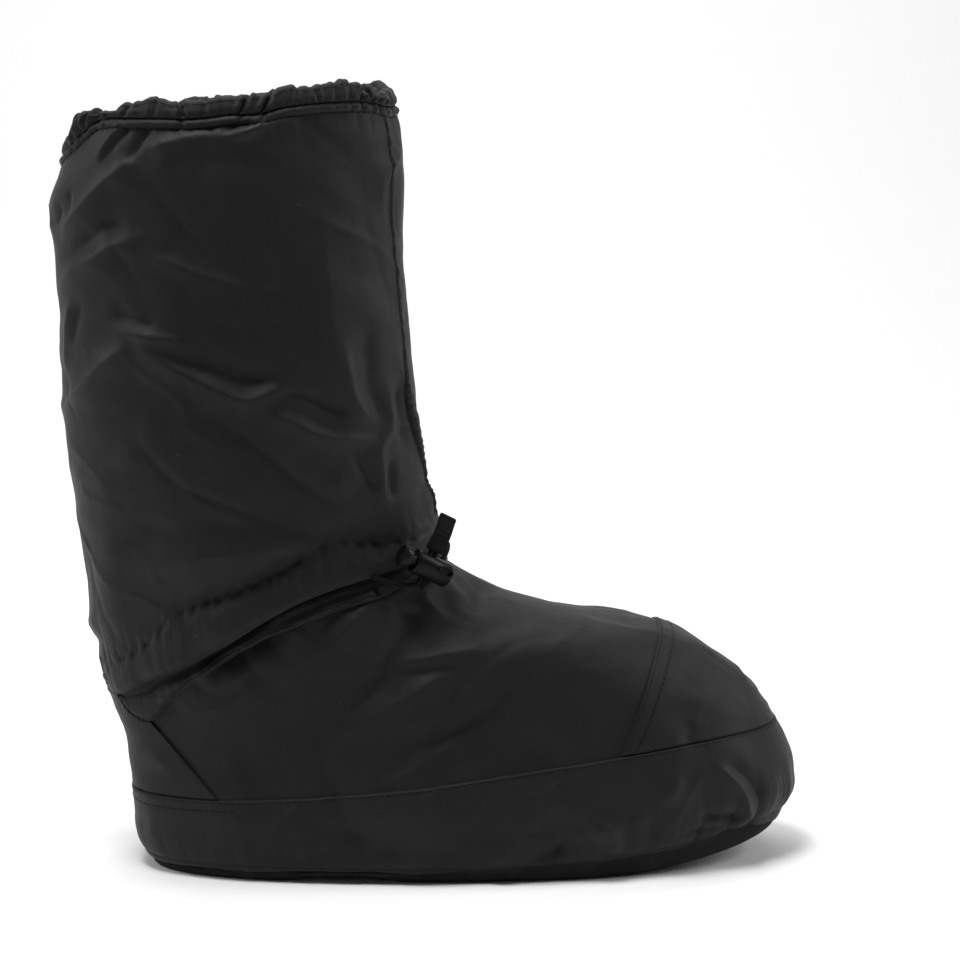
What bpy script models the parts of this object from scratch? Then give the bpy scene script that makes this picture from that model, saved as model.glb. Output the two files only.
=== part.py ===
"""Soft overboot for the right foot: a gathered nylon shaft and foot on a thin rubber sole.

The boot stands on its sole, toe to +X, wearer's inner side to +Y. The origin lies on the
floor, under the sole, on the flat of the forefoot tread.
Every curved piece is cut from one surface, form(theta, t), at its own distance out of it:
theta goes round the boot (0 is the front), t goes up it (0 under the foot, 1 at the rim).
"""

import bmesh
import bpy
import numpy as np
from mathutils import Matrix, Vector

# Main sizes, metres
FOOT_LENGTH = 0.336
BALL_WIDTH = 0.117
HEEL_HEIGHT = 0.080
INSTEP_HEIGHT = 0.151
BOOT_HEIGHT = 0.391
SHAFT_DEPTH = 0.172
SHAFT_WIDTH = 0.120
LEAN_BACK = 0.024
TOE_INWARD = 0.010
WAIST_IN = 0.004
GAP = 0.0003

# Places along the foot, as shares of the foot length
SHAFT_MIDDLE_SHARE = -0.2783
TOE_INWARD_FROM_SHARE = -0.0298
WAIST_AT_SHARE = -0.0893
WAIST_REACH_SHARE = 0.1339
SPRING_FROM_SHARE = 0.1488
SPRING_TO_SHARE = 0.4702
ARCH_AT_SHARE = -0.1845
ARCH_REACH_SHARE = 0.0774
BALL_TREAD_FROM_SHARE = 0.0298

# Walls and raised pieces, metres
WALL = 0.0025
RAND_THICKNESS = 0.0012
RAND_PLEAT = 0.0012
PANEL_THICKNESS = 0.0010
BAND_THICKNESS = 0.0009
COLLAR_WALL = 0.0016
COLLAR_PLEAT = 0.0011
COLLAR_OVER_RIM = 0.0016
COLLAR_TOP_PLEAT = 0.0006
SEAM_WIDTH = 0.0045
SEAM_THICKNESS = 0.0012
SEAM_LOW_ANGLE = -8.0
SEAM_HIGH_ANGLE = -21.5
INSOLE_BEVEL = 0.0020

# Sole, metres
TOE_SPRING = 0.014
SOLE_LIP = 0.0018
SOLE_EDGE_IN = 0.0040
SOLE_BEVEL = 0.0024
ARCH_LIFT = 0.0025
GROOVE_WIDTH = 0.0040
GROOVE_DEPTH = 0.0020
GROOVE_RIM = 0.0110
GROOVE_PITCH = 0.0125
HEEL_TREAD_SPACE = 0.0243
HEEL_GROOVES = 4
BALL_GROOVES = 8

# Seam planes of toe cap and heel counter: a point on the plane, along as a share of the foot
# length and up as a share of the instep or heel height, and the plane's run per height
CAP_SEAM_ALONG_SHARE = 0.2932
CAP_SEAM_UP_SHARE = 0.7914
CAP_SEAM_RUN = 0.41
COUNTER_SEAM_ALONG_SHARE = -0.4673
COUNTER_SEAM_UP_SHARE = 0.9750
COUNTER_SEAM_RUN = -0.94

# Cord lock, metres and degrees: its place round and up the form and out of it, its body,
# button and the slot both strands pass through
LOCK_ANGLE = -34.5
LOCK_UP_SHARE = 0.526
LOCK_STAND_OFF = 0.0156
LOCK_TURN = 31.0
LOCK_DROP = 27.0
LOCK_LENGTH = 0.0220
LOCK_HEIGHT = 0.0124
LOCK_DEPTH = 0.0104
BUTTON_LENGTH = 0.0056
BUTTON_HEIGHT = 0.0108
BUTTON_DEPTH = 0.0088
BUTTON_GAP = 0.0024
BUTTON_TRAVEL = 0.0020
STEM_RADIUS = 0.0036
STEM_CLEARANCE = 0.0001
STEM_END_SPACE = 0.0006
LOCK_END_WALL = 0.0034
EYE_LENGTH = 0.0072
EYE_WIDTH = 0.0036
EYE_DEPTH = 0.0014
EYE_RIM = 0.0009
EYE_RISE = 0.0008
EYE_UP = 0.0010

# Drawcord and pull tab, metres and degrees round the boot
CORD_RADIUS = 0.0013
CORD_OUTER_EXIT = -51.0
CORD_INNER_EXIT = 3.0
CORD_STAND_OFF = 0.0065
TAB_LENGTH = 0.0190
TAB_WIDTH = 0.0100
TAB_THICKNESS = 0.0042
TAB_SOCKET = 0.0060

AROUND = 40
COLUMNS = np.linspace(0.0, 2.0 * np.pi, AROUND, endpoint=False)

# Sections of the foot, bottom to top. Rear x and front x are shares of the foot length,
# rear z of the heel height, front z of the instep height, width of the ball width; widest is
# where along the section it is widest; rear n and front n say how square its two halves are;
# power and bow shape its rise from rear to front (bow in metres).
FOOT_COLUMNS = ("t", "rear x", "rear z", "front x", "front z", "width", "widest",
                "rear n", "front n", "power", "bow")
FOOT_ROWS = {
    "margin": (0.000, -0.4360, 0.075, 0.4370, 0.150, 0.800, 0.620, 2.70, 2.30, 4.00, 0.000),
    "feather": (0.030, -0.4710, 0.090, 0.4740, 0.163, 0.900, 0.620, 2.80, 2.30, 4.00, 0.000),
    "bulge": (0.060, -0.4890, 0.180, 0.4990, 0.200, 0.970, 0.620, 2.80, 2.35, 3.00, 0.000),
    "rand": (0.110, -0.4945, 0.340, 0.5025, 0.290, 0.995, 0.615, 2.80, 2.40, 1.80, 0.000),
    "rand seam": (0.190, -0.4990, 0.510, 0.4730, 0.455, 0.965, 0.610, 2.70, 2.40, 1.20, 0.000),
    "toe top": (0.270, -0.5040, 0.640, 0.4170, 0.605, 0.920, 0.570, 2.50, 2.40, 1.10, 0.002),
    "cap seam": (0.350, -0.5080, 0.750, 0.3000, 0.785, 0.870, 0.490, 2.40, 2.30, 1.05, 0.005),
    "instep": (0.430, -0.5140, 0.870, 0.1150, 0.860, 0.830, 0.450, 2.30, 2.20, 1.00, 0.009),
}

# Sections of the shaft. Middle is a share of the lean, depth of the shaft depth, rear z and
# front z shares of the height left above heel and instep, width of the shaft width.
SHAFT_COLUMNS = ("t", "middle", "depth", "rear z", "front z", "width", "widest",
                 "rear n", "front n", "power", "bow")
SHAFT_ROWS = {
    "channel low": (0.500, 0.00, 0.960, 0.000, 0.000, 0.800, 0.470, 2.20, 2.00, 1.10, 0.010),
    "channel high": (0.570, 0.29, 0.980, 0.077, 0.110, 0.840, 0.490, 2.10, 2.00, 1.00, 0.008),
    "shaft low": (0.660, 0.50, 0.990, 0.225, 0.205, 0.930, 0.500, 2.10, 2.10, 1.00, 0.004),
    "shaft middle": (0.780, 0.77, 1.005, 0.475, 0.395, 0.990, 0.500, 2.10, 2.10, 1.00, 0.000),
    "shaft high": (0.900, 0.98, 0.998, 0.740, 0.695, 1.000, 0.500, 2.10, 2.10, 1.00, 0.000),
    "shoulder": (0.955, 1.01, 1.000, 0.855, 0.850, 0.980, 0.500, 2.10, 2.10, 1.00, 0.000),
    "collar seam": (0.980, 0.95, 0.960, 0.908, 0.925, 0.925, 0.500, 2.10, 2.10, 1.00, 0.000),
    "rim": (1.000, 0.92, 0.905, 0.962, 0.995, 0.875, 0.500, 2.10, 2.10, 1.00, 0.000),
}
FLAT_RISE_UP_TO = 0.190
EVEN_RISE_FROM = 0.500

# Where the raised pieces begin and end on the form, as t
SEAM_HALF_GAP_SHARE = 0.0007
SOLE_LIP_SHARE = 0.0420
RAND_FROM_SHARE = 0.0460
BAND_FROM_SHARE = 0.9850
BAND_TO_SHARE = 0.9905
COLLAR_FROM_SHARE = 0.9910
COLLAR_FULL_SHARE = 0.9935
COLLAR_TURN_SHARE = 0.9975
COLLAR_INSIDE_SHARE = 0.9880

# Cross-section of the ankle channel, low seam to upper stitch: share of the way up, thickness
CHANNEL_COLUMNS = ("share", "thickness")
CHANNEL_SECTION = (
    (0.02, 0.0010),
    (0.12, 0.0019),
    (0.26, 0.0016),
    (0.36, 0.0008),
    (0.46, 0.0028),
    (0.60, 0.0039),
    (0.78, 0.0030),
    (0.98, 0.0010),
)
CHANNEL_DIP_SHARE = 0.36
CHANNEL_FLOOR = 0.0005

MATERIALS = {
    "nylon": ((0.020, 0.020, 0.021), 0.62, 0.0),
    "nylon_panel": ((0.022, 0.022, 0.023), 0.60, 0.0),
    "nylon_band": ((0.018, 0.018, 0.019), 0.66, 0.0),
    "rubber_sole": ((0.012, 0.012, 0.012), 0.80, 0.0),
    "insole_felt": ((0.030, 0.030, 0.031), 0.90, 0.0),
    "lock_plastic": ((0.008, 0.008, 0.008), 0.35, 0.0),
    "button_plastic": ((0.009, 0.009, 0.009), 0.32, 0.0),
    "cord_black": ((0.010, 0.010, 0.010), 0.75, 0.0),
    "tab_tape": ((0.010, 0.010, 0.010), 0.80, 0.0),
}


# The form

def form_rows():
    """Both tables turned into metres: knots t, and per row the ten numbers of a section."""
    rows = []
    for t, rear_x, rear_z, front_x, front_z, width, *rest in FOOT_ROWS.values():
        rows.append((t, rear_x * FOOT_LENGTH, rear_z * HEEL_HEIGHT, front_x * FOOT_LENGTH,
                     front_z * INSTEP_HEIGHT, width * BALL_WIDTH / 2, *rest))
    for t, middle, depth, rear_z, front_z, width, *rest in SHAFT_ROWS.values():
        x = SHAFT_MIDDLE_SHARE * FOOT_LENGTH - middle * LEAN_BACK
        half = depth * SHAFT_DEPTH / 2
        rows.append((t, x - half, HEEL_HEIGHT + rear_z * (BOOT_HEIGHT - HEEL_HEIGHT), x + half,
                     INSTEP_HEIGHT + front_z * (BOOT_HEIGHT - INSTEP_HEIGHT),
                     width * SHAFT_WIDTH / 2, *rest))
    table = np.array(rows)
    return table[:, 0], table[:, 1:]


KNOTS, SECTIONS = form_rows()


def section(t):
    """The section at height t: a smooth curve through the rows of the tables."""
    step = np.diff(KNOTS)
    rise = np.diff(SECTIONS, axis=0) / step[:, None]
    slope = np.empty_like(SECTIONS)
    slope[0], slope[-1] = rise[0], rise[-1]
    slope[1:-1] = ((rise[:-1] * step[1:, None] + rise[1:] * step[:-1, None])
                   / (step[:-1] + step[1:])[:, None])
    k = np.clip(np.searchsorted(KNOTS, t, side="right") - 1, 0, len(step) - 1)
    u = ((t - KNOTS[k]) / step[k])[..., None]
    h = step[k][..., None]
    return ((2 * u**3 - 3 * u**2 + 1) * SECTIONS[k] + (u**3 - 2 * u**2 + u) * h * slope[k]
            + (3 * u**2 - 2 * u**3) * SECTIONS[k + 1] + (u**3 - u**2) * h * slope[k + 1])


def form(theta, t):
    """Points of the outer surface: two half superellipses per section, rising to the front."""
    theta, t = np.broadcast_arrays(np.asarray(theta, float), np.asarray(t, float))
    values = np.moveaxis(section(t), -1, 0)
    rear_x, rear_z, front_x, front_z, half, widest, rear_n, front_n, power, bow = values
    c, s = np.cos(theta), np.sin(theta)
    middle = rear_x + widest * (front_x - rear_x)
    reach = np.where(c >= 0, front_x - middle, middle - rear_x)
    n = np.where(c >= 0, front_n, rear_n)
    x = middle + reach * np.sign(c) * np.abs(c) ** (2 / n)
    y = half * np.sign(s) * np.abs(s) ** (2 / n)
    along = np.clip((x - rear_x) / (front_x - rear_x), 0, 1)
    late = along**power
    late = late * late * (3 - 2 * late)
    even = np.clip((t - FLAT_RISE_UP_TO) / (EVEN_RISE_FROM - FLAT_RISE_UP_TO), 0, 1)
    rise = late + (along - late) * even
    z = rear_z + (front_z - rear_z) * rise + bow * np.sin(np.pi * along)
    toe = (x / FOOT_LENGTH - TOE_INWARD_FROM_SHARE) / (0.5 - TOE_INWARD_FROM_SHARE)
    toe = np.clip(toe, 0, 1)
    y = y + TOE_INWARD * toe * toe * (3 - 2 * toe)
    fade = np.clip(1 - t / FOOT_ROWS["cap seam"][0], 0, 1)
    waist = np.exp(-((x / FOOT_LENGTH - WAIST_AT_SHARE) / WAIST_REACH_SHARE) ** 2) * fade
    y = y - WAIST_IN * waist * np.clip(s, 0, 1)
    return np.stack([x, y, z], -1)


def outward(theta, t):
    """Unit normals of the form, by small steps both ways."""
    e = 1e-4
    t = np.clip(t, e, 1 - e)
    across = form(theta + e, t) - form(theta - e, t)
    up = form(theta, t + e) - form(theta, t - e)
    n = np.cross(across, up)
    return n / np.linalg.norm(n, axis=-1, keepdims=True)


def at(theta, t, out):
    """Points at a distance out of the form (in, if it is less than nothing)."""
    theta, t = np.broadcast_arrays(np.asarray(theta, float), np.asarray(t, float))
    return form(theta, t) + np.asarray(out)[..., None] * outward(theta, t)


# Mesh helpers

def new_mesh(name, points, faces):
    mesh = bpy.data.meshes.new(name)
    mesh.from_pydata([tuple(map(float, p)) for p in points], [], faces)
    mesh.validate()
    return mesh


def new_object(name, material, points, faces, group):
    """A closed object from points and faces, normals turned out, with its own material."""
    mesh = new_mesh(name, points, faces)
    bm = bmesh.new()
    bm.from_mesh(mesh)
    bmesh.ops.recalc_face_normals(bm, faces=bm.faces)
    bm.to_mesh(mesh)
    bm.free()
    return link_object(name, material, mesh, group)


def link_object(name, material, mesh, group):
    thing = bpy.data.objects.new(name, mesh)
    group.objects.link(thing)
    if material:
        mesh.materials.clear()
        mesh.materials.append(make_material(material))
    return thing


def make_material(name):
    found = bpy.data.materials.get(name)
    if found:
        return found
    colour, roughness, metallic = MATERIALS[name]
    material = bpy.data.materials.new(name)
    material.use_nodes = True
    shader = material.node_tree.nodes["Principled BSDF"]
    shader.inputs["Base Color"].default_value = (*colour, 1.0)
    shader.inputs["Roughness"].default_value = roughness
    shader.inputs["Metallic"].default_value = metallic
    return material


def grid_faces(rows, columns, round_columns, round_rows):
    """Quads between neighbouring points of a grid, closed round either way on request."""
    faces = []
    for i in range(rows if round_rows else rows - 1):
        for j in range(columns if round_columns else columns - 1):
            k, m = (i + 1) % rows, (j + 1) % columns
            faces.append((i * columns + j, i * columns + m, k * columns + m, k * columns + j))
    return faces


def cross_faces(start, count):
    """Faces that close a loop of points by strips from side to side, front to rear."""
    faces = [(start, start + 1, start + count - 1)]
    half = count // 2
    for j in range(1, half - 1):
        faces.append((start + j, start + j + 1, start + count - j - 1, start + count - j))
    faces.append((start + half - 1, start + half, start + half + 1))
    return faces


def stacked(name, material, loops, group):
    """A solid from loops one above the other, closed at both ends."""
    count = len(loops[0])
    faces = grid_faces(len(loops), count, True, False)
    faces += cross_faces(0, count)
    faces += cross_faces(count * (len(loops) - 1), count)
    return new_object(name, material, np.concatenate(loops), faces, group)


def ring(name, material, loops, group):
    """A solid ring from loops that follow each other round its cross-section."""
    faces = grid_faces(len(loops), len(loops[0]), True, True)
    return new_object(name, material, np.concatenate(loops), faces, group)


def skin(name, material, theta, t, out, closed, thickness, group, cuts=()):
    """An open patch of the form, trimmed by planes, with its thickness from a modifier.

    Theta grows along each row and t from row to row, so its faces look out of the form.
    """
    points = at(theta, t, out)
    rows, columns = points.shape[:2]
    mesh = new_mesh(name, points.reshape(-1, 3), grid_faces(rows, columns, closed, False))
    thing = link_object(name, material, mesh, group)
    bm = bmesh.new()
    bm.from_mesh(mesh)
    for place, normal in cuts:
        geometry = bm.verts[:] + bm.edges[:] + bm.faces[:]
        bmesh.ops.bisect_plane(bm, geom=geometry, plane_co=place, plane_no=normal,
                               clear_outer=True, dist=1e-5)
    bmesh.ops.remove_doubles(bm, verts=bm.verts[:], dist=1e-4)
    bm.to_mesh(mesh)
    bm.free()
    solid = thing.modifiers.new("thickness", "SOLIDIFY")
    solid.thickness = abs(thickness)
    solid.offset = np.sign(thickness)
    solid.use_even_offset = True
    return thing


def box(name, size, place, turn, group):
    """A box of given size, moved and turned into place."""
    bm = bmesh.new()
    bmesh.ops.create_cube(bm, size=1.0)
    bmesh.ops.scale(bm, vec=Vector(size), verts=bm.verts)
    return finish_bmesh(name, None, bm, place, turn, group)


def rod(name, radii, depth, sides, place, turn, group):
    """A cylinder along its own z, stretched to an oval where the two radii differ."""
    bm = bmesh.new()
    bmesh.ops.create_cone(bm, cap_ends=True, segments=sides, radius1=1.0, radius2=1.0, depth=depth)
    bmesh.ops.scale(bm, vec=Vector((radii[0], radii[1], 1.0)), verts=bm.verts)
    return finish_bmesh(name, None, bm, place, turn, group)


def finish_bmesh(name, material, bm, place, turn, group):
    matrix = Matrix.Translation(Vector(place)) @ turn.to_4x4()
    bmesh.ops.transform(bm, matrix=matrix, verts=bm.verts)
    mesh = bpy.data.meshes.new(name)
    bm.to_mesh(mesh)
    bm.free()
    return link_object(name, material, mesh, group)


def cut(thing, tool, operation="DIFFERENCE"):
    """Takes the tool out of the thing (or joins it on), the tool kept out of sight."""
    modifier = thing.modifiers.new(operation.lower(), "BOOLEAN")
    modifier.operation = operation
    modifier.solver = "EXACT"
    modifier.object = tool
    tool.hide_render = True
    tool.display_type = "WIRE"


def bevel(thing, width, segments, angle):
    """Rounds the edges that turn by more than the angle."""
    modifier = thing.modifiers.new("round", "BEVEL")
    modifier.width = width
    modifier.segments = segments
    modifier.limit_method = "ANGLE"
    modifier.angle_limit = np.radians(angle)


# Sole and insole

UPPER_HEIGHTS = (0.000, 0.016, 0.030, 0.046, 0.060, 0.084, 0.110, 0.150, 0.190, 0.230, 0.270,
                 0.310, 0.350, 0.390, 0.430, 0.465, 0.500, 0.524, 0.547, 0.570, 0.615, 0.660,
                 0.740, 0.820, 0.900, 0.945, 0.970, 0.985, 1.000)
INSOLE_HEIGHTS = (0.002, 0.028, 0.050)


def under(x):
    """Height of the sole's underside: flat, with an arch, and sprung up at the toe."""
    share = x / FOOT_LENGTH
    run = np.clip((share - SPRING_FROM_SHARE) / (SPRING_TO_SHARE - SPRING_FROM_SHARE), 0, None)
    arch = ARCH_LIFT * np.exp(-((share - ARCH_AT_SHARE) / ARCH_REACH_SHARE) ** 4)
    return TOE_SPRING * run * run + np.where(arch < ARCH_LIFT / 20, 0.0, arch)


def outline(inset):
    """The sole's edge in plan, moved in by the inset, as x and y."""
    feather = FOOT_ROWS["feather"][0]
    edge = form(COLUMNS, feather)[:, :2]
    along = np.roll(edge, -1, 0) - np.roll(edge, 1, 0)
    side = np.stack([along[:, 1], -along[:, 0]], -1)
    side /= np.linalg.norm(side, axis=1)[:, None]
    return edge - inset * side


def standing(points, height):
    """Points in plan lifted off the underside by a height."""
    return np.column_stack([points, under(points[:, 0]) + height])


def make_outsole(group, cutters):
    margin = at(COLUMNS, 0.0, GAP)
    inner = margin.copy()
    inner[:, :2] += outline(2 * GAP) - outline(0.0)
    inner_top = inner + np.array([0.0, 0.0, WALL + GAP])
    loops = [
        standing(outline(SOLE_EDGE_IN + SOLE_BEVEL), 0.0),
        standing(outline(SOLE_BEVEL - SOLE_LIP), 0.0),
        standing(outline(-SOLE_LIP), SOLE_BEVEL),
        at(COLUMNS, SOLE_LIP_SHARE, GAP + SOLE_LIP),
        at(COLUMNS, SOLE_LIP_SHARE, GAP),
        at(COLUMNS, UPPER_HEIGHTS[2], GAP),
        at(COLUMNS, UPPER_HEIGHTS[1], GAP),
        margin,
        inner,
        inner_top,
    ]
    sole = stacked("outsole", "rubber_sole", loops, group)
    heel = outline(0.0)[:, 0].min() + HEEL_TREAD_SPACE
    ball = BALL_TREAD_FROM_SHARE * FOOT_LENGTH
    places = [heel + k * GROOVE_PITCH for k in range(HEEL_GROOVES)]
    places += [ball + k * GROOVE_PITCH for k in range(BALL_GROOVES)]
    rim = outline(GROOVE_RIM)
    for k, x in enumerate(places):
        left, right = side_at(rim, x, True), side_at(rim, x, False)
        top = under(np.array(x)) + GROOVE_DEPTH
        low = -GROOVE_DEPTH
        size = (GROOVE_WIDTH, left - right, top - low)
        place = (x, (left + right) / 2, (top + low) / 2)
        tool = box(f"groove_{k}", size, place, Matrix.Identity(3), cutters)
        cut(sole, tool)
    return sole


def side_at(points, x, left):
    """Where an outline crosses x on its left or right side."""
    chosen = points[: AROUND // 2 + 1] if left else points[AROUND // 2:]
    order = np.argsort(chosen[:, 0])
    return float(np.interp(x, chosen[order, 0], chosen[order, 1]))


def make_insole(group):
    out = -(WALL + GAP)
    low, edge, high = INSOLE_HEIGHTS
    loops = [
        at(COLUMNS, low, out),
        at(COLUMNS, edge, out),
        at(COLUMNS, high, out),
        at(COLUMNS, high, out - INSOLE_BEVEL),
    ]
    return stacked("insole", "insole_felt", loops, group)


# Upper and the pieces sewn on it

def heights(low, high):
    """The upper's own rows between two heights, with the two heights at the ends."""
    return np.array([low] + [t for t in UPPER_HEIGHTS if low + 0.003 < t < high - 0.003] + [high])


def make_upper(group):
    t = np.array(UPPER_HEIGHTS)[:, None]
    return skin("upper", "nylon", COLUMNS[None, :], t, 0.0, True, -WALL, group)


def make_rand(group):
    """The lower band: plain at the sides, drawn into pleats round the toe."""
    t = heights(RAND_FROM_SHARE, FOOT_ROWS["rand seam"][0] - SEAM_HALF_GAP_SHARE)
    inner = [at(COLUMNS, k, GAP) for k in t]
    every_other = np.where(np.arange(AROUND) % 2 == 0, 1.0, 0.0)
    pleats = every_other * np.clip(np.cos(COLUMNS) * 1.6 - 0.5, 0, 1)
    outer = []
    for k in t[::-1]:
        gather = np.clip((0.150 - k) / 0.100, 0, 1)
        outer.append(at(COLUMNS, k, GAP + RAND_THICKNESS + RAND_PLEAT * pleats * gather))
    return ring("rand", "nylon_panel", inner + outer, group)


def seam_plane(x, z, run, keep_front):
    """A plane seen edge-on from the side, through x and z, moved forward by run per height."""
    normal = Vector((1.0, 0.0, -run)).normalized()
    return (Vector((x, 0.0, z)), -normal if keep_front else normal)


def make_toe_cap(group):
    t = heights(FOOT_ROWS["rand seam"][0] + SEAM_HALF_GAP_SHARE, SHAFT_ROWS["channel low"][0])
    half = AROUND // 4 + 4
    theta = COLUMNS[1] * np.arange(-half, half + 1)
    plane = seam_plane(CAP_SEAM_ALONG_SHARE * FOOT_LENGTH, CAP_SEAM_UP_SHARE * INSTEP_HEIGHT,
                       CAP_SEAM_RUN, True)
    return skin("toe_cap", "nylon_panel", theta[None, :], t[:, None], GAP, False,
                PANEL_THICKNESS, group, [plane])


def make_heel_counter(group):
    t = heights(FOOT_ROWS["rand seam"][0] + SEAM_HALF_GAP_SHARE,
                SHAFT_ROWS["channel low"][0] - SEAM_HALF_GAP_SHARE)
    half = AROUND // 4 + 4
    theta = np.pi + COLUMNS[1] * np.arange(-half, half + 1)
    plane = seam_plane(COUNTER_SEAM_ALONG_SHARE * FOOT_LENGTH, COUNTER_SEAM_UP_SHARE * HEEL_HEIGHT,
                       COUNTER_SEAM_RUN, False)
    return skin("heel_counter", "nylon_panel", theta[None, :], t[:, None], GAP, False,
                PANEL_THICKNESS, group, [plane])


def make_channel(group):
    """The drawcord channel round the ankle: a narrow hem, a dip, and a blown-out fold."""
    low, high = SHAFT_ROWS["channel low"][0], SHAFT_ROWS["channel high"][0]
    share = np.array([row[0] for row in CHANNEL_SECTION])
    thickness = np.array([row[1] for row in CHANNEL_SECTION])
    t = low + share * (high - low)
    outer = [at(COLUMNS, k, GAP + d) for k, d in zip(t, thickness)]
    backing = heights(t[0], t[-1])
    inner = [at(COLUMNS, k, GAP) for k in backing[::-1]]
    return ring("ankle_channel", "nylon_band", outer + inner, group)


def make_collar_band(group):
    t = np.linspace(BAND_FROM_SHARE, BAND_TO_SHARE, 3)[:, None]
    return skin("collar_band", "nylon_band", COLUMNS[None, :], t, GAP, True,
                BAND_THICKNESS, group)


def make_collar(group):
    """The gathered elastic casing: folded over the rim, with pleats all the way round."""
    wave = np.where(np.arange(AROUND) % 2 == 0, 1.0, 0.15)
    outside = GAP + COLLAR_WALL
    inside = -(WALL + GAP)
    up = np.array([0.0, 0.0, 1.0])
    over = up * (GAP + COLLAR_OVER_RIM + COLLAR_TOP_PLEAT * wave[:, None])
    rim_out = at(COLUMNS, 1.0, GAP)
    rim_in = at(COLUMNS, 1.0, inside)
    loops = [
        at(COLUMNS, COLLAR_FROM_SHARE, GAP),
        at(COLUMNS, COLLAR_FROM_SHARE, outside + COLLAR_PLEAT * 0.3 * wave),
        at(COLUMNS, COLLAR_FULL_SHARE, outside + COLLAR_PLEAT * wave),
        at(COLUMNS, COLLAR_TURN_SHARE, outside + COLLAR_PLEAT * wave),
        at(COLUMNS, 1.0, 0.0) + over,
        at(COLUMNS, 1.0, -WALL) + over,
        at(COLUMNS, COLLAR_TURN_SHARE, inside - COLLAR_WALL),
        at(COLUMNS, COLLAR_INSIDE_SHARE, inside - COLLAR_WALL),
        at(COLUMNS, COLLAR_INSIDE_SHARE, inside),
        rim_in + up * GAP,
        rim_out + up * GAP,
    ]
    return ring("collar_casing", "nylon_band", loops, group)


def make_front_seam(group):
    """The raised seam down the shaft's front, a little to the outer side."""
    t = heights(SHAFT_ROWS["channel high"][0] + SEAM_HALF_GAP_SHARE,
                BAND_FROM_SHARE - SEAM_HALF_GAP_SHARE)[:, None]
    share = (t - t[0]) / (t[-1] - t[0])
    middle = np.radians(SEAM_LOW_ANGLE + (SEAM_HIGH_ANGLE - SEAM_LOW_ANGLE) * share)
    half = SEAM_WIDTH / SHAFT_WIDTH
    theta = middle + np.array([-half, 0.0, half])[None, :]
    return skin("front_seam", "nylon_band", theta, np.broadcast_to(t, theta.shape), GAP, False,
                SEAM_THICKNESS, group)


# Cord lock, drawcord and pull tab

LOCK_ALONG = np.array([np.cos(np.radians(LOCK_TURN)) * np.cos(np.radians(LOCK_DROP)),
                       np.sin(np.radians(LOCK_TURN)) * np.cos(np.radians(LOCK_DROP)),
                       -np.sin(np.radians(LOCK_DROP))])
LOCK_OUT = np.array([np.sin(np.radians(LOCK_TURN)), -np.cos(np.radians(LOCK_TURN)), 0.0])
LOCK_UP = np.cross(LOCK_OUT, LOCK_ALONG)
LOCK_CENTRE = at(np.radians(LOCK_ANGLE), LOCK_UP_SHARE, LOCK_STAND_OFF)
LOCK_START = LOCK_CENTRE - LOCK_ALONG * (LOCK_LENGTH - BUTTON_LENGTH - BUTTON_GAP) / 2
CORD_PITCH = 2 * CORD_RADIUS + GAP
SLOT_LENGTH = 2 * CORD_RADIUS + CORD_PITCH + 2 * GAP
SLOT_WIDTH = 2 * CORD_RADIUS + 2 * GAP
SLOT_MIDDLE = 0.0092
STEM_END = LOCK_LENGTH - LOCK_END_WALL - BUTTON_TRAVEL - STEM_END_SPACE


def in_lock(along, up, out):
    """A point given in the lock's own directions, from the button end of its body."""
    return LOCK_START + LOCK_ALONG * along + LOCK_UP * up + LOCK_OUT * out


def turned(first, second, third):
    """The turn that lays x, y and z on three directions."""
    return Matrix([Vector(first), Vector(second), Vector(third)]).transposed()


def make_lock(group, cutters):
    lying = turned(LOCK_UP, LOCK_OUT, LOCK_ALONG)
    body = rod("lock_body", (LOCK_HEIGHT / 2, LOCK_DEPTH / 2), LOCK_LENGTH, 28,
               in_lock(LOCK_LENGTH / 2, 0, 0), lying, group)
    body.data.materials.append(make_material("lock_plastic"))
    bevel(body, 0.0011, 2, 40)
    bore_depth = LOCK_LENGTH - LOCK_END_WALL
    bore_radius = STEM_RADIUS + STEM_CLEARANCE
    bore = rod("lock_bore", (bore_radius, bore_radius), bore_depth + 0.002, 24,
               in_lock(bore_depth / 2 - 0.001, 0, 0), lying, cutters)
    cut(body, bore)
    upright = turned(LOCK_ALONG, LOCK_OUT, -LOCK_UP)
    slot = box("lock_slot", (SLOT_LENGTH, SLOT_WIDTH, LOCK_HEIGHT + 0.004),
               in_lock(SLOT_MIDDLE, 0, 0), upright, cutters)
    cut(body, slot)
    eye_at = LOCK_LENGTH - 0.0016 - EYE_LENGTH / 2
    facing = turned(LOCK_ALONG, LOCK_UP, LOCK_OUT)
    eye_out = LOCK_DEPTH / 2
    rim_depth = eye_out + EYE_RISE - STEM_RADIUS - 2 * GAP
    rim = rod("lock_eye_rim", (EYE_LENGTH / 2 + EYE_RIM, EYE_WIDTH / 2 + EYE_RIM), rim_depth, 24,
              in_lock(eye_at, EYE_UP, eye_out + EYE_RISE - rim_depth / 2), facing, cutters)
    cut(body, rim, "UNION")
    eye = rod("lock_eye", (EYE_LENGTH / 2, EYE_WIDTH / 2), EYE_DEPTH * 2, 24,
              in_lock(eye_at, EYE_UP, eye_out + EYE_RISE), facing, cutters)
    cut(body, eye)
    return body


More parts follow.
